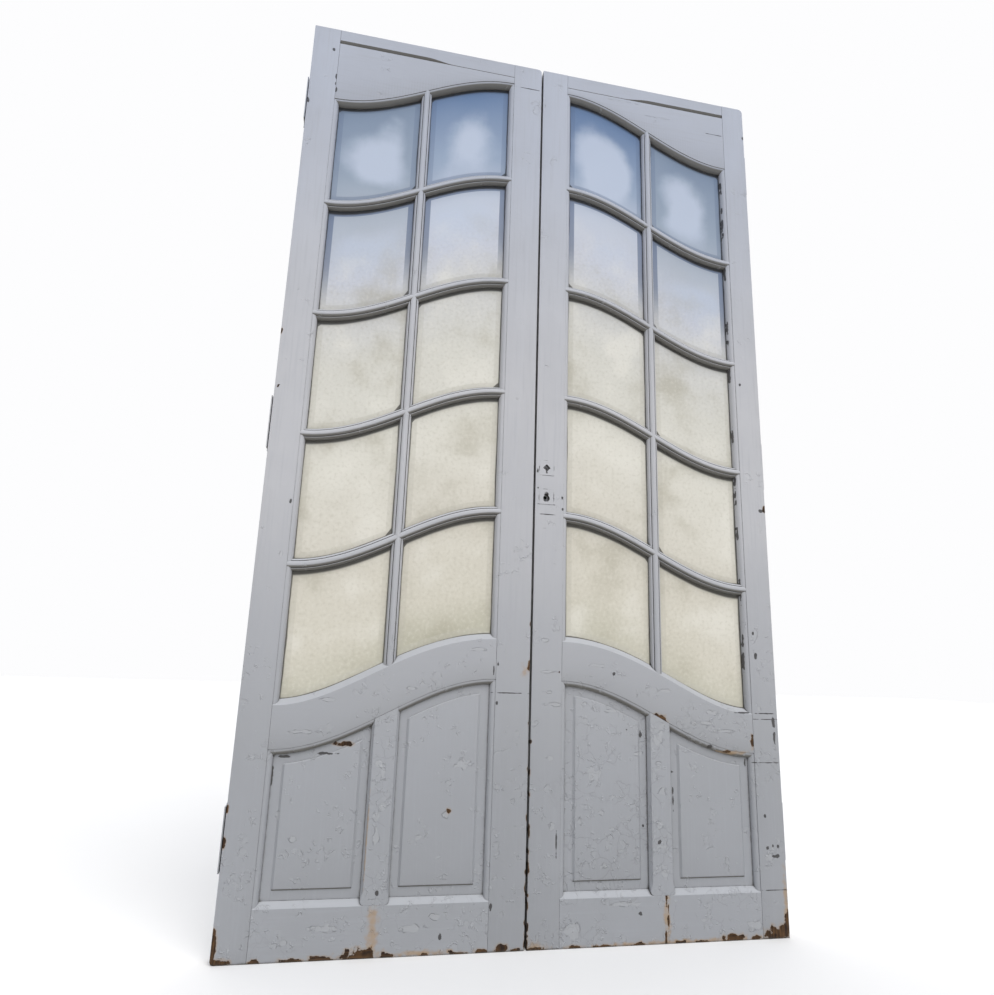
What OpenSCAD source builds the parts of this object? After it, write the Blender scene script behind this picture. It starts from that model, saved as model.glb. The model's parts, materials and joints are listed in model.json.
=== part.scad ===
// A pair of glazed French door leaves with S-curved rails and glazing bars, on lift-off hinges.
// Each leaf is drawn about its own hinge edge: x runs from the hinge edge to the meeting edge,
// y runs from the front face (0) to the back face (leaf_t), and z runs up from the leaf's foot.
// u is x counted from the inner edge of the hinge stile, so both leaves share one infill.
// n is a distance across a curved rail or bar, measured square to its S curve.

/* [Leaves] */
// Height of both leaves
leaf_h = 2500; // [2490:5:2560]
// Thickness of both leaves
leaf_t = 42; // [42:0.5:46]
// Width of the opening between the two stiles of a leaf
opening_w = 538; // [520:2:580]
// Gap between the meeting edges when both leaves are shut
meeting_gap = 6; // [4:0.5:8]
// Width of the left leaf's hinge stile
left_hinge_stile_w = 76; // [72:1:90]
// Width of the left leaf's meeting stile
left_meeting_stile_w = 88; // [80:1:100]
// Width of the right leaf's hinge stile
right_hinge_stile_w = 74; // [72:1:90]
// Width of the right leaf's meeting stile
right_meeting_stile_w = 80; // [80:1:100]

/* [Rails and bars] */
// Rise of every S curve from the hinge stile to the meeting stile
rise = 173; // [120:1:174]
// Height of the spandrel's lower edge at the hinge stile
head_z = 2256; // [2250:1:2260]
// Height of the straight top rail
top_rail_h = 48; // [44:1:50]
// Height of the lock rail's lower edge at the hinge stile
lock_rail_z = 445; // [430:1:460]
// Width of the lock rail's face across the curve
lock_rail_w = 100; // [90:1:110]
// Height of the bottom rail's face
bottom_rail_h = 108; // [100:1:120]
// Height of the lowest cross bar's middle at the hinge stile
first_bar_z = 881; // [870:1:890]
// Spacing of the cross bars
bar_pitch = 343; // [335:1:345]
// Face width of the muntin between the two panels
muntin_w = 53; // [45:1:60]

/* [Mouldings] */
// Width of the glazing bars
bar_w = 30; // [26:1:34]
// Width of the moulding round each opening
stick_w = 13; // [11:1:15]
// Depth of that moulding beside the glass
stick_d = 17; // [15:1:19]
// Width of the bevel round each pane
glass_bevel_w = 28; // [20:1:34]
// Height that each panel's field stands above its margin
field_raise = 5; // [3:0.5:6]

/* [Hinges] */
// Height of each hinge
hinge_h = 140; // [120:5:160]
// Radius of the hinge knuckles
knuckle_r = 7; // [6.5:0.5:8]
// Radius of the hinge pins
pin_r = 4; // [3:0.5:4.5]

/* [Lock] */
// Distance from the meeting edge to the spindle and the key
backset = 31; // [29:1:34]
// Height of the spindle
spindle_z = 1186; // [1180:1:1200]
// Height of the key
key_z = 1104; // [1096:1:1108]
// Travel of the latch bolt
latch_travel = 11; // [9:0.5:12]
// Travel of the flush bolts at the head and foot of the left leaf
flush_travel = 15; // [12:1:20]

/* [Hidden] */
$fn = 48;
PAINT = "#b9bcc3";
PAINT_SHADE = "#aeb1b9";
GLASS = "#c9d3d6";
IRON = "#6b6660";
STEEL = "#8d8b86";

// Leaves, given as [hinge stile width, meeting stile width]
LEFT = [left_hinge_stile_w, left_meeting_stile_w];
RIGHT = [right_hinge_stile_w, right_meeting_stile_w];
function leaf_w(leaf) = leaf[0] + opening_w + leaf[1];
pair_w = leaf_w(LEFT) + meeting_gap + leaf_w(RIGHT);

// Fine detail shared by the mouldings
quirk = 2;
quirk_in = 1.5;
quirk_draft = 0.1;
chamfer_w = 12;
glass_y = 20;
rebate_n = 2;
glass_bed = 1;
glass_edge_t = 3;
glass_rise = 2;
panel_stick_d = 14;
groove_y = 15;
groove_t = 12;
groove_n = 3;
fit_gap = 0.2;
bead_gap = 0.5;
scribe_gap = 0.6;
overlap = 5;
nose_w = 16;
nose_d = 6;
web_w = 8;
bar_t = 40;
bar_lap = 10;
bar_count = 4;
row_count = 5;
curve_steps = 20;
pane_steps = 8;

// Panels, bead and top detail
field_chamfer = 6;
field_foot = 147;
field_head = 40;
stile_margin = 37;
muntin_margin = 32.5;
muntin_chamfer = 6;
muntin_groove = 8.5;
muntin_u = opening_w / 2;
bead_w = 10;
bead_t = 12;
bead_round = 3;
tongue_h = 10;
tongue_y = 17;
tongue_t = 8;
shadow_h = 10;
shadow_d = 6;
shadow_len = 350;
shadow_fade = 70;
arris = 0.3;
top_rail_z = leaf_h - top_rail_h;

// Tenons
tenon_y = 15;
tenon_t = 12;
tenon_len = 55;
bar_tenon_len = 15;
bar_tenon_h = 10;
bar_tenon_y = 22;

// Hinges: the pin stands clear of the back face and between the plates
hinge_z = [250, 1250, 2250];
plate_t = 3;
plate_gap = 3;
plate_w = 34;
pin_x = -plate_gap / 2;
pin_y = leaf_t + 8;
pin_play = 0.05;
knuckle_gap = 0.5;
screw_z = 45;
screw_y = 8;
screw_mid_y = 25;
screw_hole_r = 2.75;
screw_r = 2.2;
screw_head_r = 4.6;
screw_sink = 2.2;
screw_len = 30;
pilot_play = 0.1;

// Lock: a mortise case behind a forend plate in the right leaf's meeting edge
case_y = 14;
case_t = 14;
case_wall = 2;
case_depth = 59;
case_z0 = 1050;
case_z1 = 1240;
forend_t = 3;
forend_w = 22;
forend_over = 20;
follower_r = 12;
hub_r = 8;
spindle_sq = 8;
bolt_w = 9;
bolt_play = 0.25;
latch_h = 20;
latch_len = 16;
dead_z = key_z + 26;
dead_h = 24;
dead_len = 36;
dead_travel = 14;
plate_w_x = 40;
plate_h_z = 42;
face_plate_t = 1.6;
face_plate_proud = 0.4;
diamond = 15;
bore_r = 12;
strike_t = 2.5;
strike_half = 96;
strike_pocket = 18;

// Flush bolts in the left leaf's meeting edge
flush_plate_t = 2;
flush_plate_w = 16;
flush_plate_h = 190;
flush_margin = 10;
flush_rod_r = 4;
flush_rod_play = 0.1;
flush_rod_in = 10;
flush_rod_h = 170;
flush_channel_h = 130;
flush_thumb = 8;
flush_thumb_h = 14;
mid_y = leaf_t / 2;

// The pair's depth runs from the face plates to the knuckles, and is centred on y = 0
front_y = -(pin_y + knuckle_r - face_plate_proud) / 2;

FRAME_PIECES = ["hinge_stile", "meeting_stile", "top_rail", "spandrel", "lock_rail", "bottom_rail",
    "panel_muntin", "outer_panel", "inner_panel", "upright_bar", "cross_bars", "glazing_beads",
    "hinge_jamb_halves", "hinge_door_halves", "hinge_screws"];
LOCK_PIECES = ["lock_case", "follower", "latch_bolt", "dead_bolt", "spindle_plate", "keyhole_plate",
    "strike_plate", "flush_bolt_plates", "top_flush_bolt", "bottom_flush_bolt"];

// ---- Curves and lofts ----

// Height gained along the S curve, its slope, and how much longer it runs than u
function s_curve(u) = rise * (1 - cos(180 * u / opening_w)) / 2;
function s_slope(u) = rise * PI / (2 * opening_w) * sin(180 * u / opening_w);
function stretch(u) = sqrt(1 + pow(s_slope(u), 2));

// A profile point [n, y] carried to station u of the curve that starts at height base
function on_curve(u, base, p) =
    [u - p[0] * s_slope(u) / stretch(u), p[1], base + s_curve(u) + p[0] / stretch(u)];
// Station of the curve whose point n beside it stands above u, found by repeated substitution
function foot_station(u, n, guess, turns) =
    turns == 0 ? guess : foot_station(u, n, u + n * s_slope(guess) / stretch(guess), turns - 1);
// Height above station u of the line that runs n beside that curve
function beside(u, base, n) = let (t = foot_station(u, n, u, 12)) base + s_curve(t) + n / stretch(t);

function span(a, b, steps) = [for (i = [0:steps]) a + (b - a) * i / steps];
function clamp01(v) = max(0, min(1, v));
function reverse(list) = [for (i = [len(list) - 1:-1:0]) list[i]];

// Solid through the rings of points that ring(u) gives at each station. A sheet's ring runs along
// its front and as many points back behind it, and its ends are closed by strips between the two.
module loft(ring, stations, sheet = false) {
    rings = [for (u = stations) ring(u)];
    n = len(rings[0]);
    last = (len(stations) - 1) * n;
    strip = [for (k = [0:n / 2 - 2]) [k, k + 1, n - 2 - k, n - 1 - k]];
    end = sheet ? strip : [[for (k = [0:n - 1]) k]];
    sides = [for (i = [0:n:last - n], k = [0:n - 1])
        let (a = i + k, b = i + (k + 1) % n) each [[a, b, b + n], [a, b + n, a + n]]];
    polyhedron(points = [for (r = rings) each r],
        faces = concat(sides, [for (face = end) reverse(face)],
            [for (face = end) [for (k = face) last + k]]),
        convexity = 8);
}

// ---- Profiles, as [n, y] points ----

// Moulding from the face edge over a fillet and down a quarter round, d deep
function sticking(d) = concat([[0, 0], [quirk_draft, quirk]],
    [for (a = [0:30:90]) [quirk_in + (stick_w - quirk_in) * sin(a), d - (d - quirk) * cos(a)]]);
function downwards(points) = [for (p = points) [-p[0], p[1]]];
function at_back(points) = [for (p = points) [p[0], leaf_t - p[1]]];

// Half of a glazing bar: half-round nose, fillet, quarter round, glass rebate and web
function bar_half() = concat(
    [for (a = [0:22.5:90]) [nose_w / 2 * sin(a), nose_d * (1 - cos(a))]],
    [for (a = [0:30:90]) [nose_w / 2 + 1 + (bar_w / 2 - nose_w / 2 - 1) * sin(a),
        stick_d - (stick_d - nose_d - 1) * cos(a)]],
    [[bar_w / 2, glass_y], [web_w / 2, glass_y], [web_w / 2, bar_t]]);
function bar_profile() = concat(bar_half(), [for (p = reverse(bar_half())) if (p[0] > 0) [-p[0], p[1]]]);

// Lock rail: plain chamfer above under the glass, moulding and panel groove below
function lock_rail_profile() = concat(
    [[0, 0], [lock_rail_w, 0], [lock_rail_w + stick_w, stick_d], [lock_rail_w + stick_w, glass_y],
        [lock_rail_w + rebate_n, glass_y], [lock_rail_w + rebate_n, leaf_t]],
    downwards(at_back(sticking(panel_stick_d))),
    [[-stick_w, groove_y + groove_t], [-groove_n, groove_y + groove_t], [-groove_n, groove_y],
        [-stick_w, groove_y]],
    [for (p = reverse(downwards(sticking(panel_stick_d)))) if (p[1] > 0) p]);

// Bottom rail: chamfered top edge with a panel groove
function bottom_rail_profile() = [[0, 0], [bottom_rail_h, 0], [bottom_rail_h + chamfer_w, panel_stick_d],
    [bottom_rail_h + chamfer_w, groove_y], [bottom_rail_h + chamfer_w - tongue_h, groove_y],
    [bottom_rail_h + chamfer_w - tongue_h, groove_y + groove_t],
    [bottom_rail_h + chamfer_w, groove_y + groove_t],
    [bottom_rail_h + chamfer_w, leaf_t - panel_stick_d], [bottom_rail_h, leaf_t], [0, leaf_t]];

// Lower edge of the spandrel, from the back up to the front face
function spandrel_edge() = concat([[-rebate_n, leaf_t], [-rebate_n, glass_y], [-stick_w, glass_y]],
    [for (p = reverse(downwards(sticking(stick_d)))) if (p[1] > 0) p]);

// ---- Places ----

module in_left_leaf() translate([-pair_w / 2, front_y, 0]) children();
module in_right_leaf() translate([pair_w / 2, front_y, 0]) mirror([1, 0, 0]) children();
module in_leaf(side) {
    if (side == "left") in_left_leaf() children();
    else in_right_leaf() children();
}
module in_opening(leaf) translate([leaf[0], 0, 0]) children();
function leaf_of(side) = side == "left" ? LEFT : RIGHT;

// Straight length of a curved member about one station of its curve. The curve hardly bends near
// the middle of the opening, so this prism fits the lofted member to a tenth of a millimetre.
module crossing(base, profile, length, station = opening_w / 2) {
    translate([station, 0, base + s_curve(station)])
        rotate([0, -atan(s_slope(station)), 0])
            rotate([90, 0, 90])
                linear_extrude(length, center = true)
                    polygon([for (p = profile) [p[1], p[0]]]);
}

function bar_z(i) = first_bar_z + (i - 1) * bar_pitch;

// ---- Frame of a leaf ----

module tenon(base, height, length = tenon_len, y = tenon_y, t = tenon_t)
    translate([-length, y, base]) cube([length + 1, t, height]);

// Every tenon socket in a stile whose curve stands lift higher than at the hinge stile
module mortises(lift) {
    tenon(top_rail_z + 6, top_rail_h - 14);
    if (lift == 0) tenon(head_z + 60, 100);
    tenon(lock_rail_z + lift + 15, lock_rail_w - 30);
    tenon(15, bottom_rail_h - 28);
    for (i = [1:bar_count])
        tenon(bar_z(i) + lift - bar_tenon_h / 2, bar_tenon_h, bar_tenon_len, bar_tenon_y);
}

// A stile w wide with its opening edge on x = 0 and its moulding reaching into x > 0
module stile_blank(w, lift) {
    glazed = concat(sticking(stick_d), [[stick_w, glass_y], [rebate_n, glass_y],
        [rebate_n, leaf_t], [-overlap, leaf_t], [-overlap, 0]]);
    panelled = concat(sticking(panel_stick_d),
        [[stick_w, groove_y], [groove_n, groove_y], [groove_n, groove_y + groove_t],
            [stick_w, groove_y + groove_t]],
        reverse(at_back(sticking(panel_stick_d))), [[-overlap, leaf_t], [-overlap, 0]]);
    glazed_z = lock_rail_z + lift + lock_rail_w + stick_w + scribe_gap;
    panelled_z = bottom_rail_h + chamfer_w;
    difference() {
        union() {
            translate([-w, 0, 0]) cube([w, leaf_t, leaf_h]);
            translate([0, 0, glazed_z])
                linear_extrude(head_z + lift - stick_w - scribe_gap - glazed_z) polygon(glazed);
            translate([0, 0, panelled_z])
                linear_extrude(lock_rail_z + lift - stick_w - scribe_gap - panelled_z)
                    polygon(panelled);
        }
        mortises(lift);
        for (i = [1:bar_count])
            translate([0, -1, bar_z(i) + lift - bar_w / 2 - 2 * fit_gap])
                cube([stick_w + 1, leaf_t + 2, bar_w + 4 * fit_gap]);
    }
}

// What rounds an outer corner of a stile, standing on the corner itself
module corner_round(r) rotate([90, 0, 0]) translate([0, 0, -leaf_t - 1])
    linear_extrude(leaf_t + 2) difference() {
        translate([-1, -1]) square(r + 1);
        translate([r, r]) circle(r);
    }

module hinge_stile(side) {
    w = leaf_of(side)[0];
    color(PAINT) in_leaf(side) difference() {
        translate([w, 0, 0]) stile_blank(w, 0);
        for (z = hinge_z) translate([0, 0, z]) {
            translate([-1, leaf_t - plate_w, -hinge_h / 2])
                cube([plate_t + 1, plate_w + 1, hinge_h]);
            screw_places() rotate([0, 90, 0]) cylinder(r = screw_r + pilot_play, h = screw_len + 1);
        }
        if (side == "right") translate([0, 0, leaf_h]) mirror([0, 0, 1]) corner_round(14);
        else corner_round(9);
    }
}

module meeting_stile(side) {
    leaf = leaf_of(side);
    color(PAINT) in_leaf(side) difference() {
        translate([leaf_w(leaf) - leaf[1], 0, 0]) mirror([1, 0, 0]) stile_blank(leaf[1], rise);
        translate([leaf_w(leaf), 0, 0]) {
            if (side == "left") {
                strike_cuts();
                flush_bolt_cuts();
                translate([0, 0, leaf_h]) mirror([1, 0, 0]) mirror([0, 0, 1]) corner_round(12);
            } else lock_cuts();
        }
    }
}

module top_rail(side) {
    leaf = leaf_of(side);
    color(PAINT) in_leaf(side) in_opening(leaf) difference() {
        union() {
            translate([0, 0, top_rail_z]) cube([opening_w, leaf_t, top_rail_h]);
            translate([-tenon_len, tenon_y, top_rail_z + 6])
                cube([opening_w + 2 * tenon_len, tenon_t, top_rail_h - 14]);
        }
        translate([-tenon_len - 1, tongue_y - fit_gap, top_rail_z - 1])
            cube([opening_w + 2 * tenon_len + 2, tongue_t + 2 * fit_gap, tongue_h + 1.5]);
    }
}

// Board that fills between the straight top rail and the S curve over the glass. Its top edge
// falls away from the rail beside the hinge stile, which leaves a shadow line that fades out.
module spandrel(side) {
    fade = function (u) clamp01((shadow_len - u) / shadow_fade);
    ring = function (u) concat(
        [on_curve(u, head_z, [0, 0]), [u, 0, top_rail_z - arris - shadow_h * fade(u)],
            [u, arris + shadow_d * fade(u), top_rail_z], [u, tongue_y, top_rail_z],
            [u, tongue_y, top_rail_z + tongue_h], [u, tongue_y + tongue_t, top_rail_z + tongue_h],
            [u, tongue_y + tongue_t, top_rail_z], [u, leaf_t, top_rail_z]],
        [for (p = spandrel_edge()) on_curve(u, head_z, p)]);
    color(PAINT) in_leaf(side) in_opening(leaf_of(side)) union() {
        loft(ring, span(0, opening_w, curve_steps));
        tenon(head_z + 60, 100);
    }
}

module lock_rail(side) {
    ring = function (u) [for (p = lock_rail_profile()) on_curve(u, lock_rail_z, p)];
    color(PAINT) in_leaf(side) in_opening(leaf_of(side)) union() {
        loft(ring, span(0, opening_w, curve_steps));
        tenon(lock_rail_z + 15, lock_rail_w - 30);
        translate([opening_w, 0, 0]) mirror([1, 0, 0])
            tenon(lock_rail_z + rise + 15, lock_rail_w - 30);
    }
}

module bottom_rail(side) {
    color(PAINT) in_leaf(side) in_opening(leaf_of(side)) union() {
        rotate([90, 0, 90]) linear_extrude(opening_w)
            polygon([for (p = bottom_rail_profile()) [p[1], p[0]]]);
        translate([-tenon_len, tenon_y, 15])
            cube([opening_w + 2 * tenon_len, tenon_t, bottom_rail_h - 28]);
    }
}

// Muntin: chamfered edges, panel grooves, and both ends scribed to the rails
module panel_muntin(side) {
    edge = muntin_w / 2 + muntin_chamfer;
    groove = edge - muntin_groove;
    half = [[muntin_w / 2, 0], [edge, 10], [edge, groove_y], [groove, groove_y],
        [groove, groove_y + groove_t], [edge, groove_y + groove_t], [edge, leaf_t - 10],
        [muntin_w / 2, leaf_t]];
    color(PAINT) in_leaf(side) in_opening(leaf_of(side)) difference() {
        translate([muntin_u, 0, bottom_rail_h - 1])
            linear_extrude(lock_rail_z + rise - bottom_rail_h)
                polygon(concat(half, reverse(downwards(half))));
        rotate([90, 0, 90]) linear_extrude(opening_w)
            polygon([for (p = bottom_rail_profile()) [p[1], p[0]]]);
        crossing(lock_rail_z - fit_gap, lock_rail_profile(), opening_w / 2);
        crossing(lock_rail_z - fit_gap,
            [[0, -1], [lock_rail_w, -1], [lock_rail_w, leaf_t + 1], [0, leaf_t + 1]], opening_w / 2);
    }
}

// Floating panel between stations a and b, with a raised field that keeps its margins
module raised_panel(a, b, margin_a, margin_b) {
    margin_y = groove_y + fit_gap;
    head_n = -groove_n - 1;
    foot = bottom_rail_h + chamfer_w - tongue_h + 1;
    lift = function (u) clamp01((min(u - a - margin_a, b - margin_b - u) + field_chamfer) / field_chamfer);
    front = function (u) [[foot, 0], [field_foot - field_chamfer, 0], [field_foot, lift(u)],
        [beside(u, lock_rail_z, -field_head), lift(u)],
        [beside(u, lock_rail_z, field_chamfer - field_head), 0], [beside(u, lock_rail_z, head_n), 0]];
    ring = function (u) concat(
        [for (p = front(u)) [u, margin_y - field_raise * p[1], p[0]]],
        [for (p = reverse(front(u))) [u, leaf_t - margin_y + field_raise * p[1], p[0]]]);
    field_a = a + margin_a;
    field_b = b - margin_b;
    loft(ring, concat([a, field_a - field_chamfer], span(field_a, field_b, pane_steps),
        [field_b + field_chamfer, b]), sheet = true);
}

module outer_panel(side) color(PAINT_SHADE) in_leaf(side) in_opening(leaf_of(side))
    raised_panel(groove_n + 1, muntin_u - muntin_w / 2 + 1.5, stile_margin, muntin_margin);

module inner_panel(side) color(PAINT_SHADE) in_leaf(side) in_opening(leaf_of(side))
    raised_panel(muntin_u + muntin_w / 2 - 1.5, opening_w - groove_n - 1, muntin_margin, stile_margin);

// ---- Glazing ----

// One cross bar for each gap between two rows of panes, halved behind for the upright bar
module cross_bars(side) {
    color(PAINT) in_leaf(side) in_opening(leaf_of(side)) for (i = [1:bar_count]) {
        ring = function (u) [for (p = bar_profile()) on_curve(u, bar_z(i), p)];
        difference() {
            union() {
                loft(ring, span(0, opening_w, curve_steps));
                tenon(bar_z(i) - bar_tenon_h / 2, bar_tenon_h, bar_tenon_len, bar_tenon_y);
                translate([opening_w, 0, 0]) mirror([1, 0, 0])
                    tenon(bar_z(i) + rise - bar_tenon_h / 2, bar_tenon_h, bar_tenon_len, bar_tenon_y);
            }
            translate([opening_w / 2 - web_w / 2 - fit_gap, bar_t - bar_lap, bar_z(i)])
                cube([web_w + 2 * fit_gap, bar_lap + 1, rise]);
        }
    }
}

// Upright bar from the lock rail to the spandrel, scribed to them and to each cross bar
module upright_bar(side) {
    foot = lock_rail_z + rise / 2 + lock_rail_w;
    head = head_z + rise / 2;
    color(PAINT) in_leaf(side) in_opening(leaf_of(side)) difference() {
        translate([opening_w / 2, 0, foot])
            linear_extrude(head - foot) polygon(bar_profile());
        crossing(lock_rail_z + fit_gap, lock_rail_profile(), bar_w * 2,
            foot_station(opening_w / 2, lock_rail_w, opening_w / 2, 12));
        crossing(head_z, concat([[60, 0], [60, leaf_t]], spandrel_edge(), [[0, 0]]), bar_w * 2);
        for (i = [1:bar_count]) crossing(bar_z(i), [for (p = bar_profile())
            [p[0] * (1 + fit_gap / bar_w), p[1] < bar_t ? p[1] : bar_t - bar_lap]], bar_w * 2);
    }
}

// Lower and upper bounds of a row of panes, as [height of the curve, n of the rebate wall]
function row_floor(row) = row == 1 ? [lock_rail_z, lock_rail_w + rebate_n] : [bar_z(row - 1), web_w / 2];
function row_head(row) = row == row_count ? [head_z, -rebate_n] : [bar_z(row), -web_w / 2];
function col_start(col) = col == "outer" ? rebate_n : opening_w / 2 + web_w / 2;
function col_end(col) = col == "outer" ? opening_w / 2 - web_w / 2 : opening_w - rebate_n;

module pane(side, col, row) {
    a = col_start(col) + 1;
    b = col_end(col) - 1;
    low = row_floor(row);
    high = row_head(row);
    edge_y = glass_y + glass_bed;
    up = function (u) clamp01(min(u - a, b - u) / glass_bevel_w);
    ring = function (u) let (foot = beside(u, low[0], low[1] + 1), top = beside(u, high[0], high[1] - 1),
            heights = [foot, foot + glass_bevel_w, top - glass_bevel_w, top],
            rises = [0, up(u), up(u), 0])
        concat([for (k = [0:3]) [u, edge_y - glass_rise * rises[k], heights[k]]],
            [for (k = [3:-1:0]) [u, edge_y + glass_edge_t, heights[k]]]);
    color(GLASS) in_leaf(side) in_opening(leaf_of(side))
        loft(ring, concat([a], span(a + glass_bevel_w, b - glass_bevel_w, pane_steps), [b]),
            sheet = true);
}

// Four beads behind each pane, curved at its head and foot
module pane_beads(col, row) {
    a = col_start(col) + fit_gap;
    b = col_end(col) - fit_gap;
    low = row_floor(row);
    high = row_head(row);
    near = glass_y + glass_bed + glass_edge_t + fit_gap;
    far = near + bead_t;
    curved = function (base, n, way) function (u) [[u, near, beside(u, base, n)],
        [u, near, beside(u, base, n + way * bead_w)],
        [u, near + bead_round, beside(u, base, n + way * bead_w)],
        [u, far, beside(u, base, n + way * bead_round)], [u, far, beside(u, base, n)]];
    loft(curved(low[0], low[1] + bead_gap, 1), span(a, b, pane_steps));
    mirrored = curved(high[0], high[1] - bead_gap, -1);
    loft(function (u) reverse(mirrored(u)), span(a, b, pane_steps));
    upright = function (wall, way) function (s) let (u = wall + way * s,
        z0 = beside(u, low[0], low[1] + bead_w + 2 * bead_gap),
        z1 = beside(u, high[0], high[1] - bead_w - 2 * bead_gap),
        y1 = s <= bead_round ? far : near + bead_round)
        [[u, near, z0], [u, near, z1], [u, y1, z1], [u, y1, z0]];
    side_stations = [0, bead_round, bead_w];
    loft(upright(a, 1), side_stations);
    from_b = upright(b, -1);
    loft(function (s) reverse(from_b(s)), side_stations);
}

module glazing_beads(side) {
    color(PAINT_SHADE) in_leaf(side) in_opening(leaf_of(side))
        for (col = ["outer", "inner"], row = [1:row_count]) pane_beads(col, row);
}

// ---- Hinges ----

// The four screws of one hinge, on the plate's outer face
module screw_places() for (y = [-screw_y, screw_y], z = [-screw_z, screw_z])
    translate([0, screw_mid_y + y, z]) children();

module knuckle(z0, height) translate([pin_x, pin_y, z0]) cylinder(r = knuckle_r, h = height);

// Half that is let into the leaf's edge and drops over the pin
module hinge_door_halves(side) {
    half = hinge_h / 2 - knuckle_gap;
    color(IRON) in_leaf(side) for (z = hinge_z) translate([0, 0, z]) difference() {
        union() {
            translate([0, leaf_t - plate_w, -hinge_h / 2]) cube([plate_t, plate_w, hinge_h]);
            translate([0, leaf_t - 1, knuckle_gap]) cube([plate_t, pin_y - leaf_t + 1, half]);
            knuckle(knuckle_gap, half);
        }
        translate([pin_x, pin_y, 0]) cylinder(r = pin_r + pin_play, h = half - 6);
        screw_places() rotate([0, 90, 0]) {
            translate([0, 0, -1]) cylinder(r = screw_r + 2 * pilot_play, h = plate_t + 2);
            cylinder(r1 = screw_head_r + pilot_play, r2 = screw_r + 2 * pilot_play, h = screw_sink);
        }
    }
}

// Half that is screwed to the door frame's jamb, with the pin standing in it
module hinge_jamb_halves(side) {
    half = hinge_h / 2 - knuckle_gap;
    color(IRON) in_leaf(side) for (z = hinge_z) translate([0, 0, z]) difference() {
        union() {
            translate([-plate_gap - plate_t, leaf_t - plate_w, -hinge_h / 2])
                cube([plate_t, plate_w, hinge_h]);
            translate([-plate_gap - plate_t, leaf_t - 1, -hinge_h / 2])
                cube([plate_t, pin_y - leaf_t + 1, half]);
            knuckle(-hinge_h / 2, half);
            translate([pin_x, pin_y, -knuckle_gap - 1]) cylinder(r = pin_r, h = half - 8);
        }
        translate([-plate_gap - plate_t, 0, 0]) screw_places() rotate([0, 90, 0])
            translate([0, 0, -1]) cylinder(r = screw_hole_r, h = plate_t + 2);
    }
}

module hinge_screws(side) {
    color(STEEL) in_leaf(side) for (z = hinge_z) translate([0, 0, z])
        screw_places() rotate([0, 90, 0]) {
            cylinder(r1 = screw_head_r, r2 = screw_r, h = screw_sink);
            cylinder(r = screw_r, h = screw_len - 4);
            translate([0, 0, screw_len - 4]) cylinder(r1 = screw_r, r2 = 0.4, h = 4);
        }
}

// ---- Lock in the right leaf, drawn back from its meeting edge at x = 0 ----

module at_right_edge() in_right_leaf() translate([leaf_w(RIGHT), 0, 0]) children();
module at_left_edge() in_left_leaf() translate([leaf_w(LEFT), 0, 0]) children();

module diamond_hole(depth) rotate([-90, 0, 0]) {
    rotate([0, 0, 45]) translate([-diamond / 2, -diamond / 2, 0]) cube([diamond, diamond, depth]);
    translate([-2, 0, 0]) cube([4, diamond + 1, depth]);
}

module keyhole(depth) rotate([-90, 0, 0]) {
    translate([0, -7, 0]) cylinder(r = 6.5, h = depth);
    translate([0, 5, 0]) cylinder(r = 9.5, h = depth);
}

// Everything cut out of the right meeting stile for the lock and its face plates
module lock_cuts() {
    translate([-forend_t - case_depth - 1, case_y - fit_gap, case_z0 - 1])
        cube([case_depth + 2, case_t + 2 * fit_gap, case_z1 - case_z0 + 2]);
    translate([-forend_t, mid_y - forend_w / 2, case_z0 - forend_over])
        cube([forend_t + 1, forend_w, case_z1 - case_z0 + 2 * forend_over]);
    for (z = [spindle_z, key_z]) translate([-backset - plate_w_x / 2, -1, z - plate_h_z / 2])
        cube([plate_w_x, face_plate_t - face_plate_proud + 1, plate_h_z]);
    translate([-backset, -1, spindle_z]) rotate([-90, 0, 0]) cylinder(r = bore_r, h = leaf_t + 2);
    translate([-backset, -1, key_z]) keyhole(leaf_t + 2);
}

module face_plate(z) translate([-backset - plate_w_x / 2, -face_plate_proud, z - plate_h_z / 2])
    cube([plate_w_x, face_plate_t, plate_h_z]);

module spindle_plate() color(PAINT_SHADE) at_right_edge() difference() {
    face_plate(spindle_z);
    translate([-backset, -1, spindle_z]) diamond_hole(4);
}

module keyhole_plate() color(PAINT_SHADE) at_right_edge() difference() {
    face_plate(key_z);
    translate([-backset, -1, key_z]) keyhole(4);
}

// Openings for one bolt, square to the edge
module bolt_way(z, height, from, to) translate([from, mid_y - bolt_w / 2 - bolt_play, z - height / 2 - bolt_play])
    cube([to - from, bolt_w + 2 * bolt_play, height + 2 * bolt_play]);

module lock_case() color(IRON) at_right_edge() difference() {
    union() {
        translate([-forend_t - case_depth, case_y, case_z0])
            cube([case_depth + 1, case_t, case_z1 - case_z0]);
        translate([-forend_t, mid_y - forend_w / 2, case_z0 - forend_over])
            cube([forend_t, forend_w, case_z1 - case_z0 + 2 * forend_over]);
    }
    translate([-forend_t - case_depth + case_wall, case_y + case_wall, case_z0 + case_wall])
        cube([case_depth - case_wall, case_t - 2 * case_wall, case_z1 - case_z0 - 2 * case_wall]);
    bolt_way(spindle_z, latch_h, -forend_t - 1, 1);
    bolt_way(dead_z, dead_h, -forend_t - 1, 1);
    translate([-backset, 0, spindle_z]) rotate([-90, 0, 0])
        cylinder(r = hub_r + pin_play, h = leaf_t);
    translate([-backset, 0, key_z]) rotate([-90, 0, 0]) cylinder(r = 4.5, h = leaf_t);
    translate([-backset - 1.5, 0, key_z - 11]) cube([3, leaf_t, 11]);
}

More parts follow.
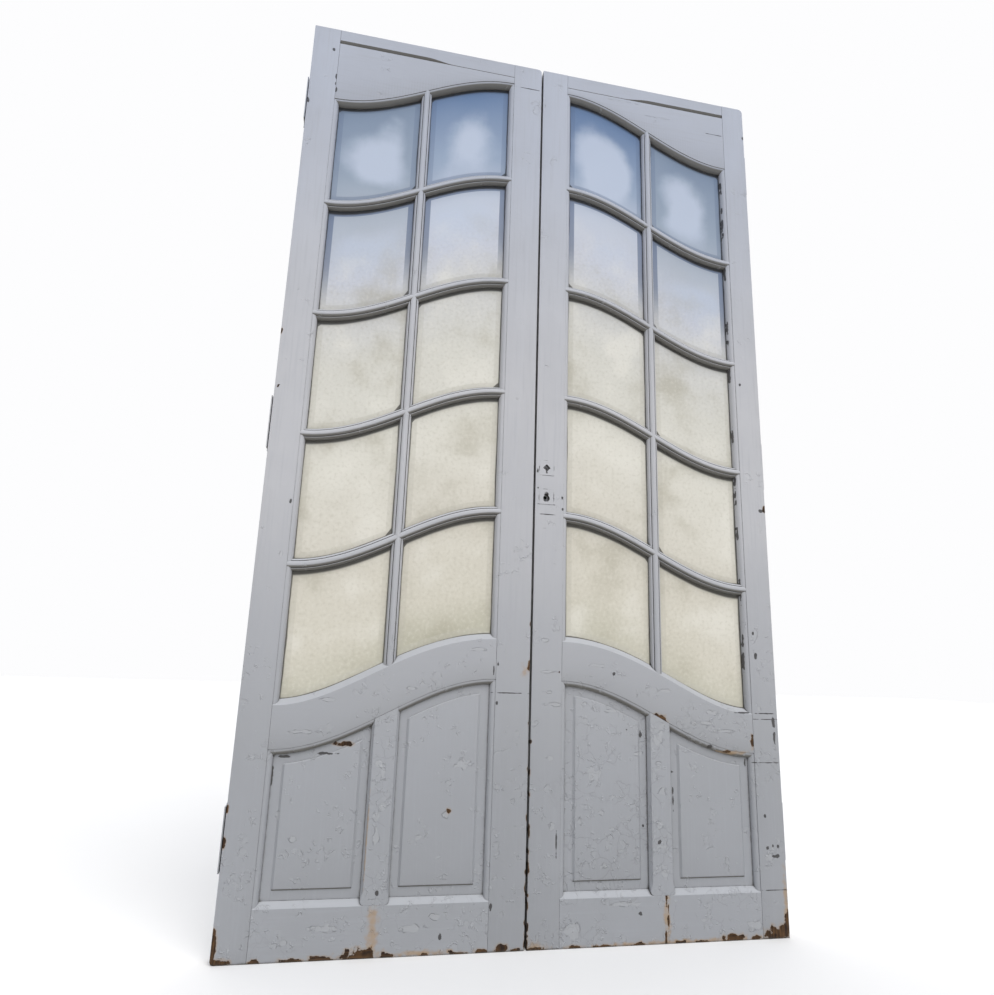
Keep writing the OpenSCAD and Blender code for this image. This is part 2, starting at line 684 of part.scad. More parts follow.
module follower() color(STEEL) at_right_edge() translate([-backset, 0, spindle_z]) difference() {
    union() {
        translate([0, case_y + fit_gap, 0]) rotate([-90, 0, 0])
            cylinder(r = hub_r, h = case_t - 2 * fit_gap);
        translate([0, case_y + case_wall + bolt_play, 0]) rotate([-90, 0, 0])
            cylinder(r = follower_r, h = case_t - 2 * case_wall - 2 * bolt_play);
    }
    rotate([0, 45, 0]) translate([-spindle_sq / 2, 0, -spindle_sq / 2])
        cube([spindle_sq, leaf_t, spindle_sq]);
}

// Latch bolt, drawn in so that its nose is level with the forend
module latch_bolt() color(STEEL) at_right_edge() translate([0, mid_y - bolt_w / 2, spindle_z])
    linear_extrude(latch_h, center = true)
        polygon([[-latch_len, 0], [-0.3, 0], [-0.3, 2], [-bolt_w, bolt_w], [-latch_len, bolt_w]]);

module dead_bolt() color(STEEL) at_right_edge()
    translate([-dead_len, mid_y - bolt_w / 2, dead_z - dead_h / 2])
        cube([dead_len - 0.3, bolt_w, dead_h]);

// ---- Fittings in the left leaf's meeting edge, drawn back from it at x = 0 ----

// Pockets that receive the two bolts of the lock
module strike_ways(from, to) {
    bolt_way(spindle_z, latch_h + 2, from, to);
    bolt_way(dead_z, dead_h + 2, from, to);
}

module strike_box(grow) translate([-strike_t, mid_y - forend_w / 2, (spindle_z + dead_z) / 2 - strike_half])
    cube([strike_t + grow, forend_w, 2 * strike_half]);

module strike_cuts() {
    strike_box(1);
    strike_ways(-strike_pocket, 1);
}

module strike_plate() color(IRON) at_left_edge() difference() {
    strike_box(0);
    strike_ways(-strike_pocket, 1);
}

// Places its children at the foot, and mirrored at the head
module at_ends() {
    children();
    translate([0, 0, leaf_h]) mirror([0, 0, 1]) children();
}

module flush_plate_box(grow) translate([-flush_plate_t, mid_y - flush_plate_w / 2, flush_margin])
    cube([flush_plate_t + grow, flush_plate_w, flush_plate_h]);

module flush_bolt_cuts() at_ends() {
    flush_plate_box(1);
    translate([-flush_rod_in - 6, mid_y - 6, flush_margin + 40])
        cube([flush_rod_in + 6, 12, flush_channel_h]);
    translate([-flush_rod_in, mid_y, -1])
        cylinder(r = flush_rod_r + flush_rod_play, h = flush_margin + 60);
}

module flush_bolt_plates() color(IRON) at_left_edge() at_ends() difference() {
    flush_plate_box(0);
    translate([-flush_plate_t - 1, mid_y - flush_thumb / 2 - bolt_play, flush_margin + 70])
        cube([flush_plate_t + 2, flush_thumb + 2 * bolt_play, 60]);
}

module flush_bolt() {
    translate([-flush_rod_in, mid_y, 1]) cylinder(r = flush_rod_r, h = flush_rod_h);
    translate([-flush_rod_in, mid_y - flush_thumb / 2, flush_margin + 105])
        cube([flush_rod_in - 0.5, flush_thumb, flush_thumb_h]);
}

module bottom_flush_bolt() color(STEEL) at_left_edge() flush_bolt();
module top_flush_bolt() color(STEEL) at_left_edge()
    translate([0, 0, leaf_h]) mirror([0, 0, 1]) flush_bolt();

// ---- Nodes ----

for (side = ["left", "right"]) {
    hinge_stile(side);
    meeting_stile(side);
    top_rail(side);
    spandrel(side);
    lock_rail(side);
    bottom_rail(side);
    panel_muntin(side);
    outer_panel(side);
    inner_panel(side);
    upright_bar(side);
    cross_bars(side);
    glazing_beads(side);
    hinge_jamb_halves(side);
    hinge_door_halves(side);
    hinge_screws(side);
    for (col = ["outer", "inner"], row = [1:row_count])
        pane(side, col, row);
}
lock_case();
follower();
latch_bolt();
dead_bolt();
spindle_plate();
keyhole_plate();
strike_plate();
flush_bolt_plates();
top_flush_bolt();
bottom_flush_bolt();
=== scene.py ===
"""A pair of glazed French door leaves in old grey oil paint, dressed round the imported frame.

Every leaf is built in its own millimetres: x runs from the hinge edge to the meeting edge, y runs
back from the front face, z runs up from the foot. u is x counted from the hinge stile's inner edge,
and n is a distance square to a leaf's S curve. LeafPlan.place() carries that into the frame.
"""

import json
import logging
import math
from collections.abc import Callable, Sequence
from dataclasses import dataclass, field
from enum import Enum

import bmesh
import bpy
from mathutils import Matrix, Vector


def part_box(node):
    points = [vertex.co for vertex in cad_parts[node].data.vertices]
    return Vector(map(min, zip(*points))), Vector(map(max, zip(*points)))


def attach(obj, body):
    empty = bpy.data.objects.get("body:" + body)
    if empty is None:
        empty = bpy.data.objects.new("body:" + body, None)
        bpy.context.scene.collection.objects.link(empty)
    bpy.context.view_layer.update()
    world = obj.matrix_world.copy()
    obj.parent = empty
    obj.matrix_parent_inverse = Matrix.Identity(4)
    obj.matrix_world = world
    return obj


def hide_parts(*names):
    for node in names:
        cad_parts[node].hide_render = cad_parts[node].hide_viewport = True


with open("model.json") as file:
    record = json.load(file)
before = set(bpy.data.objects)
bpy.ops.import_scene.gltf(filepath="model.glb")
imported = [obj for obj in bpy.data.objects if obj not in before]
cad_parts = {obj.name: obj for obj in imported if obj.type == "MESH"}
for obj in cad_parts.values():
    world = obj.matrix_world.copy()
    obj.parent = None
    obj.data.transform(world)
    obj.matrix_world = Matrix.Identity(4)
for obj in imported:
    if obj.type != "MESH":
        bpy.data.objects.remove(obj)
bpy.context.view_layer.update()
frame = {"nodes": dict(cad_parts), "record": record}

MM = 0.001
CORNER_STEPS = 5
ROUND_SIDES = 32
LOG = logging.getLogger("french_doors")
Point = tuple[float, float]
Socket = bpy.types.NodeSocket


class Side(Enum):
    """The two leaves, seen from the front."""

    LEFT = "left"
    RIGHT = "right"


class Column(Enum):
    """The two columns of panes and panels in a leaf."""

    OUTER = "outer"
    INNER = "inner"


class Grain(Enum):
    """The way that the wood and the painter's brush run on a member, as its short and long axes."""

    UPRIGHT = (1.0, 1.0, 0.04)
    LEVEL = (0.04, 1.0, 1.0)


class Mark(Enum):
    """Kinds of damage and dirt on the paint. Dark marks also stand for painted shade, in the lock's bores and
    round its plates.
    """

    BARE_WOOD = "bare wood"
    UNDERCOAT = "undercoat"
    STAIN = "stain"
    DARK = "dark"


@dataclass(frozen=True)
class Blemish:
    """One mark on a leaf: its kind, its place and half sizes in the leaf's millimetres."""

    mark: Mark
    x: float
    z: float
    half_w: float
    half_h: float
    half_d: float = 30.0


# ---- Small tools ----


def linear(hex_colour: str) -> tuple[float, float, float, float]:
    """Turns an sRGB hex colour into linear RGBA.

    Args:
        hex_colour: Six hex digits after a hash sign.

    Returns:
        The colour as Blender's sockets want it.
    """
    parts = [int(hex_colour[i : i + 2], 16) / 255 for i in (1, 3, 5)]
    return (*(c / 12.92 if c <= 0.04045 else ((c + 0.055) / 1.055) ** 2.4 for c in parts), 1.0)


def add(
    tree: bpy.types.NodeTree, kind: str, inputs: dict | list, out: int | str = 0, **settings: object,
) -> Socket:
    """Adds one node with its settings, values and links.

    Args:
        tree: The node tree.
        kind: The node's type without its ShaderNode prefix.
        inputs: A list fills the node's inputs in order, a dict those that its numbers or names say.
            Each is a value, a hex colour or the socket to link from.
        out: Which of the node's outputs to return.
        **settings: The node's own properties.

    Returns:
        The output.
    """
    node = tree.nodes.new("ShaderNode" + kind)
    for key, value in settings.items():
        setattr(node, key, value)
    for key, value in inputs.items() if isinstance(inputs, dict) else enumerate(inputs):
        if isinstance(value, Socket):
            tree.links.new(value, node.inputs[key])
        else:
            node.inputs[key].default_value = linear(value) if isinstance(value, str) else value
    return node.outputs[out]


def spread(start: float, stop: float, steps: int) -> list[float]:
    """Returns steps + 1 evenly spaced values from start to stop."""
    return [start + (stop - start) * i / steps for i in range(steps + 1)]


def clamp(value: float, low: float = 0.0, high: float = 1.0) -> float:
    """Returns value held between low and high."""
    return max(low, min(high, value))


def smooth(value: float) -> float:
    """Returns a soft step of value, which runs from 0 to 1."""
    t = clamp(value)
    return t * t * (3 - 2 * t)


def sweep(bm: bmesh.types.BMesh, stations: Sequence[float], section: Callable[[float], list[Vector]]) -> None:
    """Runs a closed section through stations by extruding its face from one to the next.

    Args:
        bm: The mesh to add to.
        stations: Where the section stands, in order.
        section: Gives the ring of points at a station, always as many and in the same order.
    """
    end = bm.faces.new([bm.verts.new(p) for p in section(stations[0])])
    for station in stations[1:]:
        grown = bmesh.ops.extrude_face_region(bm, geom=[end])
        end = next(g for g in grown["geom"] if isinstance(g, bmesh.types.BMFace))
        for vert, point in zip(end.verts, section(station), strict=True):
            vert.co = point


def board(bm: bmesh.types.BMesh, outline: Sequence[Point], y0: float, y1: float, arris: float) -> None:
    """Cuts a board to an outline in x and z, and eases the edges of its two faces.

    Args:
        bm: The mesh to add to.
        outline: The corners in x and z.
        y0: Depth of the front face.
        y1: Depth of the back face.
        arris: Width of the eased edge.
    """
    front = bm.faces.new([bm.verts.new((x, y0, z)) for x, z in outline])
    grown = bmesh.ops.extrude_face_region(bm, geom=[front])
    back = next(g for g in grown["geom"] if isinstance(g, bmesh.types.BMFace))
    bmesh.ops.translate(bm, verts=list(back.verts), vec=(0, y1 - y0, 0))
    rim = list(front.edges) + list(back.edges)
    bmesh.ops.bevel(bm, geom=rim, offset=arris, affect="EDGES", segments=2, profile=0.5, material=-1)


def rounded(x0: float, z0: float, x1: float, z1: float, radii: Sequence[float]) -> list[Point]:
    """Outline of a rectangle whose corners are rounded, from the lower left one anticlockwise.

    Args:
        x0: Left edge.
        z0: Foot.
        x1: Right edge.
        z1: Head.
        radii: The four corners' radii, with 0 for a square corner.

    Returns:
        The outline's points.
    """
    corners = [(x0, z0, 1, 1, 180), (x1, z0, -1, 1, 270), (x1, z1, -1, -1, 0), (x0, z1, 1, -1, 90)]
    points: list[Point] = []
    for (x, z, sx, sz, start), r in zip(corners, radii, strict=True):
        if r == 0:
            points.append((x, z))
            continue
        for a in (math.radians(degrees) for degrees in spread(start, start + 90, CORNER_STEPS)):
            points.append((x + sx * r + r * math.cos(a), z + sz * r + r * math.sin(a)))
    return points


# ---- Profiles, as points [n, y] in millimetres ----


@dataclass(frozen=True)
class Joinery:
    """The sections that the joiner's planes cut, shared by both leaves."""

    stick_w: float = 13.0
    stick_d: float = 17.0
    panel_stick_d: float = 14.0
    quirk: float = 2.0
    quirk_in: float = 1.5
    glass_y: float = 20.0
    rebate_n: float = 2.0
    groove_y: float = 15.0
    groove_t: float = 12.0
    groove_d: float = 10.0
    groove_in: float = 3.0
    lock_rail_w: float = 100.0
    bar_w: float = 30.0
    bar_t: float = 40.0
    web_w: float = 8.0
    nose_w: float = 16.0
    nose_d: float = 6.0
    sunk_quirk: float = 3.5
    chamfer_w: float = 12.0
    muntin_chamfer: float = 6.0
    arris: float = 0.8
    round_steps: int = 8

    def ovolo(self, depth: float) -> list[Point]:
        """Moulding that starts at the quirk and rounds over down to depth beside the opening."""
        reach = self.stick_w - self.quirk_in
        return [
            (self.quirk_in + reach * math.sin(a), depth - (depth - self.quirk) * math.cos(a))
            for a in spread(0, math.pi / 2, self.round_steps)
        ]

    def eased(self, n: float, way: float) -> list[Point]:
        """Eased corner between the front face and an edge at n that faces way, from face to edge."""
        r = self.arris
        return [(n - way * r, 0.0), (n - way * 0.3 * r, 0.3 * r), (n, r)]

    def sticking(self, depth: float) -> list[Point]:
        """The whole worked edge: eased corner, quirk and ovolo."""
        return [*self.eased(0, 1), (0, self.quirk), *self.ovolo(depth)]

    def bar(self) -> list[Point]:
        """Glazing bar: round nose, sunk quirks, ovolos, glass rebates and web."""
        half_nose = self.nose_w / 2
        foot = half_nose + self.quirk_in
        nose = [(half_nose * math.sin(a), self.nose_d * (1 - math.cos(a)) ** 0.9)
                for a in spread(0, math.pi / 2, self.round_steps)]
        reach, drop = self.bar_w / 2 - foot, self.stick_d - self.nose_d
        side = [(foot + reach * math.sin(a), self.stick_d - drop * math.cos(a))
                for a in spread(0, math.pi / 2, self.round_steps)]
        groove = self.nose_d + self.sunk_quirk
        half = [*nose, (half_nose, groove), (foot, groove), *side, (self.bar_w / 2, self.glass_y),
                (self.web_w / 2, self.glass_y), (self.web_w / 2, self.bar_t)]
        return half + [(-n, y) for n, y in reversed(half[1:])]

    def lock_rail(self, thickness: float) -> list[Point]:
        """Lock rail: glass chamfer above, worked edge and panel groove below."""
        top = self.lock_rail_w
        below = [(-n, y) for n, y in self.sticking(self.panel_stick_d)]
        groove = self.groove_y + self.groove_t
        return [
            (top - 0.6, 0.0), (top + 0.6, 0.9), (top + self.stick_w - 0.6, self.stick_d - 0.8),
            (top + self.stick_w, self.stick_d), (top + self.stick_w, self.glass_y),
            (top + self.rebate_n, self.glass_y), (top + self.rebate_n, thickness),
            *[(n, thickness - y) for n, y in below],
            (-self.stick_w, groove), (-self.groove_in, groove), (-self.groove_in, self.groove_y),
            (-self.stick_w, self.groove_y),
            *reversed(below),
        ]

    def bottom_rail(self, height: float, thickness: float) -> list[Point]:
        """Bottom rail, whose top edge is chamfered and grooved for the panels."""
        top = height + self.chamfer_w
        groove = self.groove_y + self.groove_t
        return [
            (0.0, self.arris), (self.arris, 0.0), (height - 0.5, 0.0), (height + 0.5, 0.7),
            (top - 0.5, self.panel_stick_d - 1), (top, self.panel_stick_d), (top, self.groove_y),
            (top - self.groove_d, self.groove_y), (top - self.groove_d, groove), (top, groove),
            (top, thickness - self.panel_stick_d), (height, thickness), (self.arris, thickness),
            (0.0, thickness - self.arris),
        ]

    def spandrel_edge(self, thickness: float) -> list[Point]:
        """Lower edge of the board over the glass, from the back up to the front face."""
        front = [(-n, y) for n, y in self.sticking(self.stick_d)]
        return [(-self.rebate_n, thickness), (-self.rebate_n, self.glass_y), (-self.stick_w, self.glass_y),
                *reversed(front)]


JOINERY = Joinery()
PANE_NUMBERS = ("height_share", "border_share", "blueness", "middle_share", "under_bar")


# ---- The leaf's plan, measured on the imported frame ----


@dataclass(frozen=True)
class LeafPlan:
    """A leaf's driving sizes in millimetres, and its place in the frame."""

    side: Side
    hinge_x: float
    front_y: float
    width: float
    height: float
    thickness: float
    hinge_w: float
    meeting_w: float
    rise: float
    lock_z: float
    bar_z0: float
    bar_pitch: float
    head_z: float
    top_rail_z: float
    bottom_rail_h: float
    muntin_w: float

    @classmethod
    def measure(cls, side: Side) -> "LeafPlan":
        """Measures one leaf on its CAD nodes.

        Args:
            side: Which leaf.

        Returns:
            The leaf's plan.
        """
        def box(piece: str) -> tuple[Vector, Vector]:
            """Corners of one of the leaf's CAD nodes, in millimetres."""
            low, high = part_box(f"{side.value}_{piece}")
            return low / MM, high / MM

        hinge, meeting = box("hinge_stile"), box("meeting_stile")
        rail, lock, bars = box("top_rail"), box("lock_rail"), box("cross_bars")
        left = side is Side.LEFT
        hinge_x = hinge[0].x if left else hinge[1].x
        meeting_x = meeting[1].x if left else meeting[0].x
        rise = lock[1].z - lock[0].z - JOINERY.lock_rail_w - 2 * JOINERY.stick_w
        return cls(
            side=side,
            hinge_x=hinge_x,
            front_y=rail[0].y,
            width=abs(meeting_x - hinge_x),
            height=hinge[1].z,
            thickness=rail[1].y - rail[0].y,
            hinge_w=hinge[1].x - hinge[0].x - JOINERY.stick_w,
            meeting_w=meeting[1].x - meeting[0].x - JOINERY.stick_w,
            rise=rise,
            lock_z=lock[0].z + JOINERY.stick_w,
            bar_z0=bars[0].z + JOINERY.bar_w / 2,
            bar_pitch=(bars[1].z - bars[0].z - JOINERY.bar_w - rise) / 3,
            head_z=box("spandrel")[0].z + JOINERY.stick_w,
            top_rail_z=rail[0].z,
            bottom_rail_h=box("bottom_rail")[1].z - JOINERY.chamfer_w,
            muntin_w=box("panel_muntin")[1].x - box("panel_muntin")[0].x - 2 * JOINERY.muntin_chamfer,
        )

    @property
    def opening(self) -> float:
        """Width between the stiles."""
        return self.width - self.hinge_w - self.meeting_w

    def lift(self, u: float) -> float:
        """Height gained along the S curve at u."""
        return self.rise * (1 - math.cos(math.pi * u / self.opening)) / 2

    def slope(self, u: float) -> float:
        """Slope of the S curve at u."""
        return self.rise * math.pi / (2 * self.opening) * math.sin(math.pi * u / self.opening)

    def on_curve(self, u: float, base: float, n: float, y: float) -> Vector:
        """Point n square to the curve at station u, at depth y, in the leaf's own place."""
        run = math.hypot(1, self.slope(u))
        return Vector((self.hinge_w + u - n * self.slope(u) / run, y, base + self.lift(u) + n / run))

    def beside(self, u: float, base: float, n: float) -> float:
        """Height above u of the line that runs n beside the curve."""
        t = u
        for _ in range(12):
            t = u + n * self.slope(t) / math.hypot(1, self.slope(t))
        return base + self.lift(t) + n / math.hypot(1, self.slope(t))

    def bar_z(self, i: int) -> float:
        """Height of cross bar i, counted from 1 at the bottom, at the hinge stile."""
        return self.bar_z0 + (i - 1) * self.bar_pitch

    def place(self) -> Matrix:
        """Matrix from the leaf's millimetres to the frame's metres."""
        way = 1 if self.side is Side.LEFT else -1
        return (Matrix.Translation(Vector((self.hinge_x, self.front_y, 0)) * MM)
                @ Matrix.Diagonal((way * MM, MM, MM, 1)))

    def node(self, piece: str) -> str:
        """CAD node name of one of this leaf's pieces."""
        return f"{self.side.value}_{piece}"

    @property
    def body(self) -> str:
        """The body that the leaf's pieces ride on."""
        return f"{self.side.value}_leaf"


def finish_piece(
    bm: bmesh.types.BMesh, plan: LeafPlan, name: str, nodes: Sequence[str],
    material: bpy.types.Material, crease_deg: float = 30.0,
) -> bpy.types.Object:
    """Turns a leaf's mesh into a piece of the frame.

    Args:
        bm: The mesh, in the leaf's millimetres. It is freed.
        plan: The leaf.
        name: The piece's name.
        nodes: The CAD nodes that it stands for.
        material: Its finish.
        crease_deg: Edges sharper than this stay crisp.

    Returns:
        The new object.
    """
    bmesh.ops.transform(bm, matrix=plan.place(), verts=bm.verts)
    bmesh.ops.recalc_face_normals(bm, faces=bm.faces)
    for face in bm.faces:
        face.smooth = True
    for edge in bm.edges:
        edge.smooth = len(edge.link_faces) == 2 and edge.calc_face_angle(0) < math.radians(crease_deg)
    mesh = bpy.data.meshes.new(name)
    bm.to_mesh(mesh)
    bm.free()
    mesh.materials.append(material)
    piece = bpy.data.objects.new(name, mesh)
    bpy.context.scene.collection.objects.link(piece)
    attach(piece, plan.body)
    if nodes:
        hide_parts(*nodes)
    LOG.info("%s: %d faces, for %s", name, len(mesh.polygons), ", ".join(nodes) or "the scene alone")
    return piece


# ---- Finishes ----

# Settings that many nodes share: a soft step, sums, and a colour laid over another.
SOFT = {"interpolation_type": "SMOOTHSTEP"}
TIMES = {"operation": "MULTIPLY"}
PLUS = {"operation": "ADD"}
LESS = {"operation": "SUBTRACT"}
MOST = {"operation": "MAXIMUM"}
OVER = {"data_type": "RGBA", "out": 2}


def new_material(name: str) -> tuple[bpy.types.Material, bpy.types.NodeTree, bpy.types.Node, Socket]:
    """Starts a material.

    Args:
        name: The material's name.

    Returns:
        The material, its node tree, its shader and the object's coordinates.
    """
    material = bpy.data.materials.new(name)
    material.use_nodes = True
    tree = material.node_tree
    return material, tree, tree.nodes["Principled BSDF"], add(tree, "TexCoord", {}, out="Object")


@dataclass(frozen=True)
class OilPaint:
    """Old grey oil paint, brushed on joinery: satin, painted bluer near the head as painted skylight, painted
    darker near the foot as painted shade, chipped where it was knocked, and lifting in small curls. Faces
    that look up are painted paler as a highlight, and faces that look down and crevices darker as shade.

    Curls, hairlines and nicks are drawn about 3 mm wide, coarser than the real ones, so that they show.
    """

    # head is a bluer coat for painted skylight, and foot a darker one for painted shade, either side of
    # middle.
    head: str = "#b3b8c4"
    middle: str = "#c0c0c3"
    foot: str = "#999b9f"
    streak: str = "#a4a6ac"
    # Painted light and shade: a dark colour for crevices, a darker one for faces that look down, and a pale
    # highlight for faces that look up and for curled rims.
    crevice_shade: str = "#4a463f"
    underside_shade: str = "#57544b"
    painted_highlight: str = "#d6d8dc"
    undercoat: str = "#c9cac9"
    wood: str = "#63492f"
    wood_dark: str = "#2b1f18"
    stain: str = "#a5855a"
    # Dark colour for cracks and dark marks, some of which are painted shade.
    soot_and_shade: str = "#2b2724"
    satin: float = 0.45
    bare: float = 0.9
    tone_mm: float = 320.0
    ripple_mm: float = 70.0
    brush_mm: float = 6.0
    curl_mm: float = 19.0
    patch_mm: float = 60.0
    break_mm: float = 15.0
    nick_mm: float = 95.0
    crackle_mm: float = 48.0
    chip_mm: float = 16.0
    bend_mm: float = 25.0
    fibre_mm: float = 2.5
    bend_share: float = 0.02
    curl_share: float = 0.2
    lifted_share: float = 0.05
    undercoat_share: float = 0.13
    hairline_share: float = 0.2
    soot_and_shade_share: float = 0.85
    brush_h: float = 0.2
    ripple_h: float = 2.2
    curl_h: float = 1.3
    lifted_h: float = 0.5
    hairline_h: float = 0.6
    chip_h: float = 1.4
    crevice_mm: float = 9.0

    def nearest_mark(
        self, tree: bpy.types.NodeTree, where: Socket, plan: LeafPlan, blemishes: Sequence[Blemish],
    ) -> Socket | None:
        """Distance to the nearest of some marks, where 1 is a mark's own rim.

        Args:
            tree: The node tree.
            where: Object coordinates.
            plan: The leaf, which turns the marks' places into the frame's.
            blemishes: The marks.

        Returns:
            The distance socket, or None where there is no mark.
        """
        nearest = None
        for b in blemishes:
            centre = plan.place() @ Vector((b.x, 0, b.z))
            scale = Vector(1 / (half * MM) for half in (b.half_w, b.half_d, b.half_h))
            offset = Vector(-c * s for c, s in zip(centre, scale, strict=True))
            local = add(tree, "VectorMath", [where, scale, offset], operation="MULTIPLY_ADD")
            away = add(tree, "VectorMath", [local], out="Value", operation="LENGTH")
            nearest = away if nearest is None else add(tree, "Math", [nearest, away], operation="MINIMUM")
        return nearest

    def material(
        self, name: str, plan: LeafPlan, grain: Grain, blemishes: Sequence[Blemish], wear: float = 1.0,
    ) -> bpy.types.Material:
        """Makes the paint for one member.

        Args:
            name: The material's name.
            plan: The leaf that the member belongs to.
            grain: The way of its grain.
            blemishes: The marks on it.
            wear: How far the paint has lifted, where 1 is usual.

        Returns:
            The material.
        """
        material, tree, shader, where = new_material(name)
        height = add(tree, "SeparateXYZ", [where], out="Z")
        facing = add(tree, "SeparateXYZ", [add(tree, "NewGeometry", {}, out="Normal")], out="Z")
        low_down = add(tree, "MapRange", [height, 0.25, 1.3, 1.0, 0.0], **SOFT)
        high_up = add(tree, "MapRange", [height, 1.35, 2.3], **SOFT)
        along = add(tree, "VectorMath", [where, grain.value], **TIMES)
        brush = add(tree, "TexNoise", {"Vector": along, "Scale": 1 / (self.brush_mm * MM), "Detail": 2.0})
        ragged = add(tree, "TexNoise", {"Vector": where, "Scale": 1 / (self.chip_mm * MM), "Detail": 5.0})
        ragged = add(tree, "Math", [ragged, 0.5], **LESS)

        # The coat: bluer at the head as painted skylight, darker at the foot as painted shade, brushed along
        # the grain.
        base = add(tree, "Mix", {0: high_up, 6: self.middle, 7: self.head}, **OVER)
        base = add(tree, "Mix", {0: low_down, 6: base, 7: self.foot}, **OVER)
        tone = add(tree, "TexNoise", {"Vector": where, "Scale": 1 / (self.tone_mm * MM), "Detail": 4.0})
        tone = add(tree, "MapRange", [tone, 0.35, 0.65, 0.0, 0.25], **SOFT)
        base = add(tree, "Mix", {0: tone, 6: base, 7: self.streak}, **OVER)
        streaks = add(tree, "MapRange", [brush, 0.5, 0.75, 0.0, 0.22], **SOFT)
        base = add(tree, "Mix", {0: streaks, 6: base, 7: self.streak}, **OVER)

        # Painted light: what faces up is painted pale as a highlight, what faces down is painted dark as
        # shade.
        painted_highlight = add(tree, "MapRange", [facing, 0.15, 0.8, 0.0, 0.4], **SOFT)
        base = add(tree, "Mix", {0: painted_highlight, 6: base, 7: self.painted_highlight}, **OVER)
        below = add(tree, "MapRange", [facing, -0.08, -0.6, 0.0, 0.88], **SOFT)
        base = add(tree, "Mix", {0: below, 6: base, 7: self.underside_shade}, **OVER)

        # Curls: the rims where the coat has let go, in patches, with the coat below inside them. The rims are
        # painted pale, as a painted highlight on their raised edges.
        patch = add(tree, "TexNoise", {"Vector": where, "Scale": 1 / (self.patch_mm * MM), "Detail": 2.0})
        patch = add(tree, "Math", [patch, add(tree, "Math", [low_down, 0.09 * wear], **TIMES)], **PLUS)
        patch = add(tree, "MapRange", [patch, 0.61, 0.7], **SOFT)
        island = add(tree, "TexNoise", {"Vector": where, "Scale": 1 / (self.curl_mm * MM), "Detail": 3.0})
        away = add(tree, "Math", [add(tree, "Math", [island, 0.57], **LESS)], operation="ABSOLUTE")
        broken = add(tree, "TexNoise", {"Vector": where, "Scale": 1 / (self.break_mm * MM), "Detail": 1.0})
        broken = add(tree, "MapRange", [broken, 0.5, 0.56], **SOFT)
        curl = add(tree, "Math", [add(tree, "MapRange", [away, 0.0, 0.06, 1.0, 0.0], **SOFT), patch], **TIMES)
        curl = add(tree, "Math", [curl, broken], **TIMES)
        pale = add(tree, "Math", [curl, self.curl_share], **TIMES)
        base = add(tree, "Mix", {0: pale, 6: base, 7: self.painted_highlight}, **OVER)
        lifted = add(tree, "Math", [add(tree, "MapRange", [island, 0.57, 0.62], **SOFT), patch], **TIMES)
        pale = add(tree, "Math", [lifted, self.lifted_share], **TIMES)
        base = add(tree, "Mix", {0: pale, 6: base, 7: self.undercoat}, **OVER)

        # Hairlines between plates of dry paint, where it has weathered most.
        bending = {"Vector": where, "Scale": 1 / (self.bend_mm * MM), "Detail": 3.0}
        bend = add(tree, "TexNoise", bending, out="Color")
        bent = add(tree, "Mix", {0: self.bend_share, 4: where, 5: bend}, out=1, data_type="VECTOR")
        crackle = {"Vector": bent, "Scale": 1 / (self.crackle_mm * MM)}
        plates = add(tree, "TexVoronoi", crackle, feature="DISTANCE_TO_EDGE")
        hairline = add(tree, "MapRange", [plates, 0.0, 0.03, 1.0, 0.0], **SOFT)
        dry = add(tree, "MapRange", [patch, 0.0, 1.0, 0.0, clamp((wear - 1.0) * 0.5)])
        hairline = add(tree, "Math", [hairline, dry], **TIMES)
        dark = add(tree, "Math", [hairline, self.hairline_share], **TIMES)
        base = add(tree, "Mix", {0: dark, 6: base, 7: self.soot_and_shade}, **OVER)

        # Nicks: small knocks down to dark wood, far apart.
        spots = {"Vector": bent, "Scale": 1 / (self.nick_mm * MM)}
        lot = add(tree, "SeparateColor", [add(tree, "TexVoronoi", spots, out="Color")])
        frayed = add(tree, "Math", [ragged, 0.06], **TIMES)
        spot = add(tree, "Math", [add(tree, "TexVoronoi", spots), frayed], **PLUS)
        nick = add(tree, "MapRange", [spot, 0.018, 0.03, 1.0, 0.0], **SOFT)
        bare = add(tree, "Math", [nick, add(tree, "MapRange", [lot, 0.6, 0.62])], **TIMES)

        for mark in Mark:
            near = self.nearest_mark(tree, where, plan, [b for b in blemishes if b.mark is mark])
            if near is None:
                continue
            rough = add(tree, "Math", [near, add(tree, "Math", [ragged, 3.2], **TIMES)], **PLUS)
            inside = add(tree, "MapRange", [rough, 0.88, 1.0, 1.0, 0.0], **SOFT)
            if mark is Mark.STAIN:
                share = add(tree, "MapRange", [rough, 0.0, 1.4, 0.6, 0.0], **SOFT)
                base = add(tree, "Mix", {0: share, 6: base, 7: self.stain}, **OVER)
            elif mark is Mark.UNDERCOAT:
                off_rim = add(tree, "Math", [add(tree, "Math", [rough, 1.0], **LESS)], operation="ABSOLUTE")
                rim = add(tree, "MapRange", [off_rim, 0.0, 0.22, 1.0, 0.0], **SOFT)
                rim = add(tree, "Math", [rim, add(tree, "MapRange", [broken, 0.0, 1.0, 0.12, 1.0])], **TIMES)
                pale = add(tree, "Math", [inside, self.undercoat_share], **TIMES)
                base = add(tree, "Mix", {0: pale, 6: base, 7: self.undercoat}, **OVER)
                curl = add(tree, "Math", [curl, rim], **MOST)
                lifted = add(tree, "Math", [lifted, inside], **MOST)
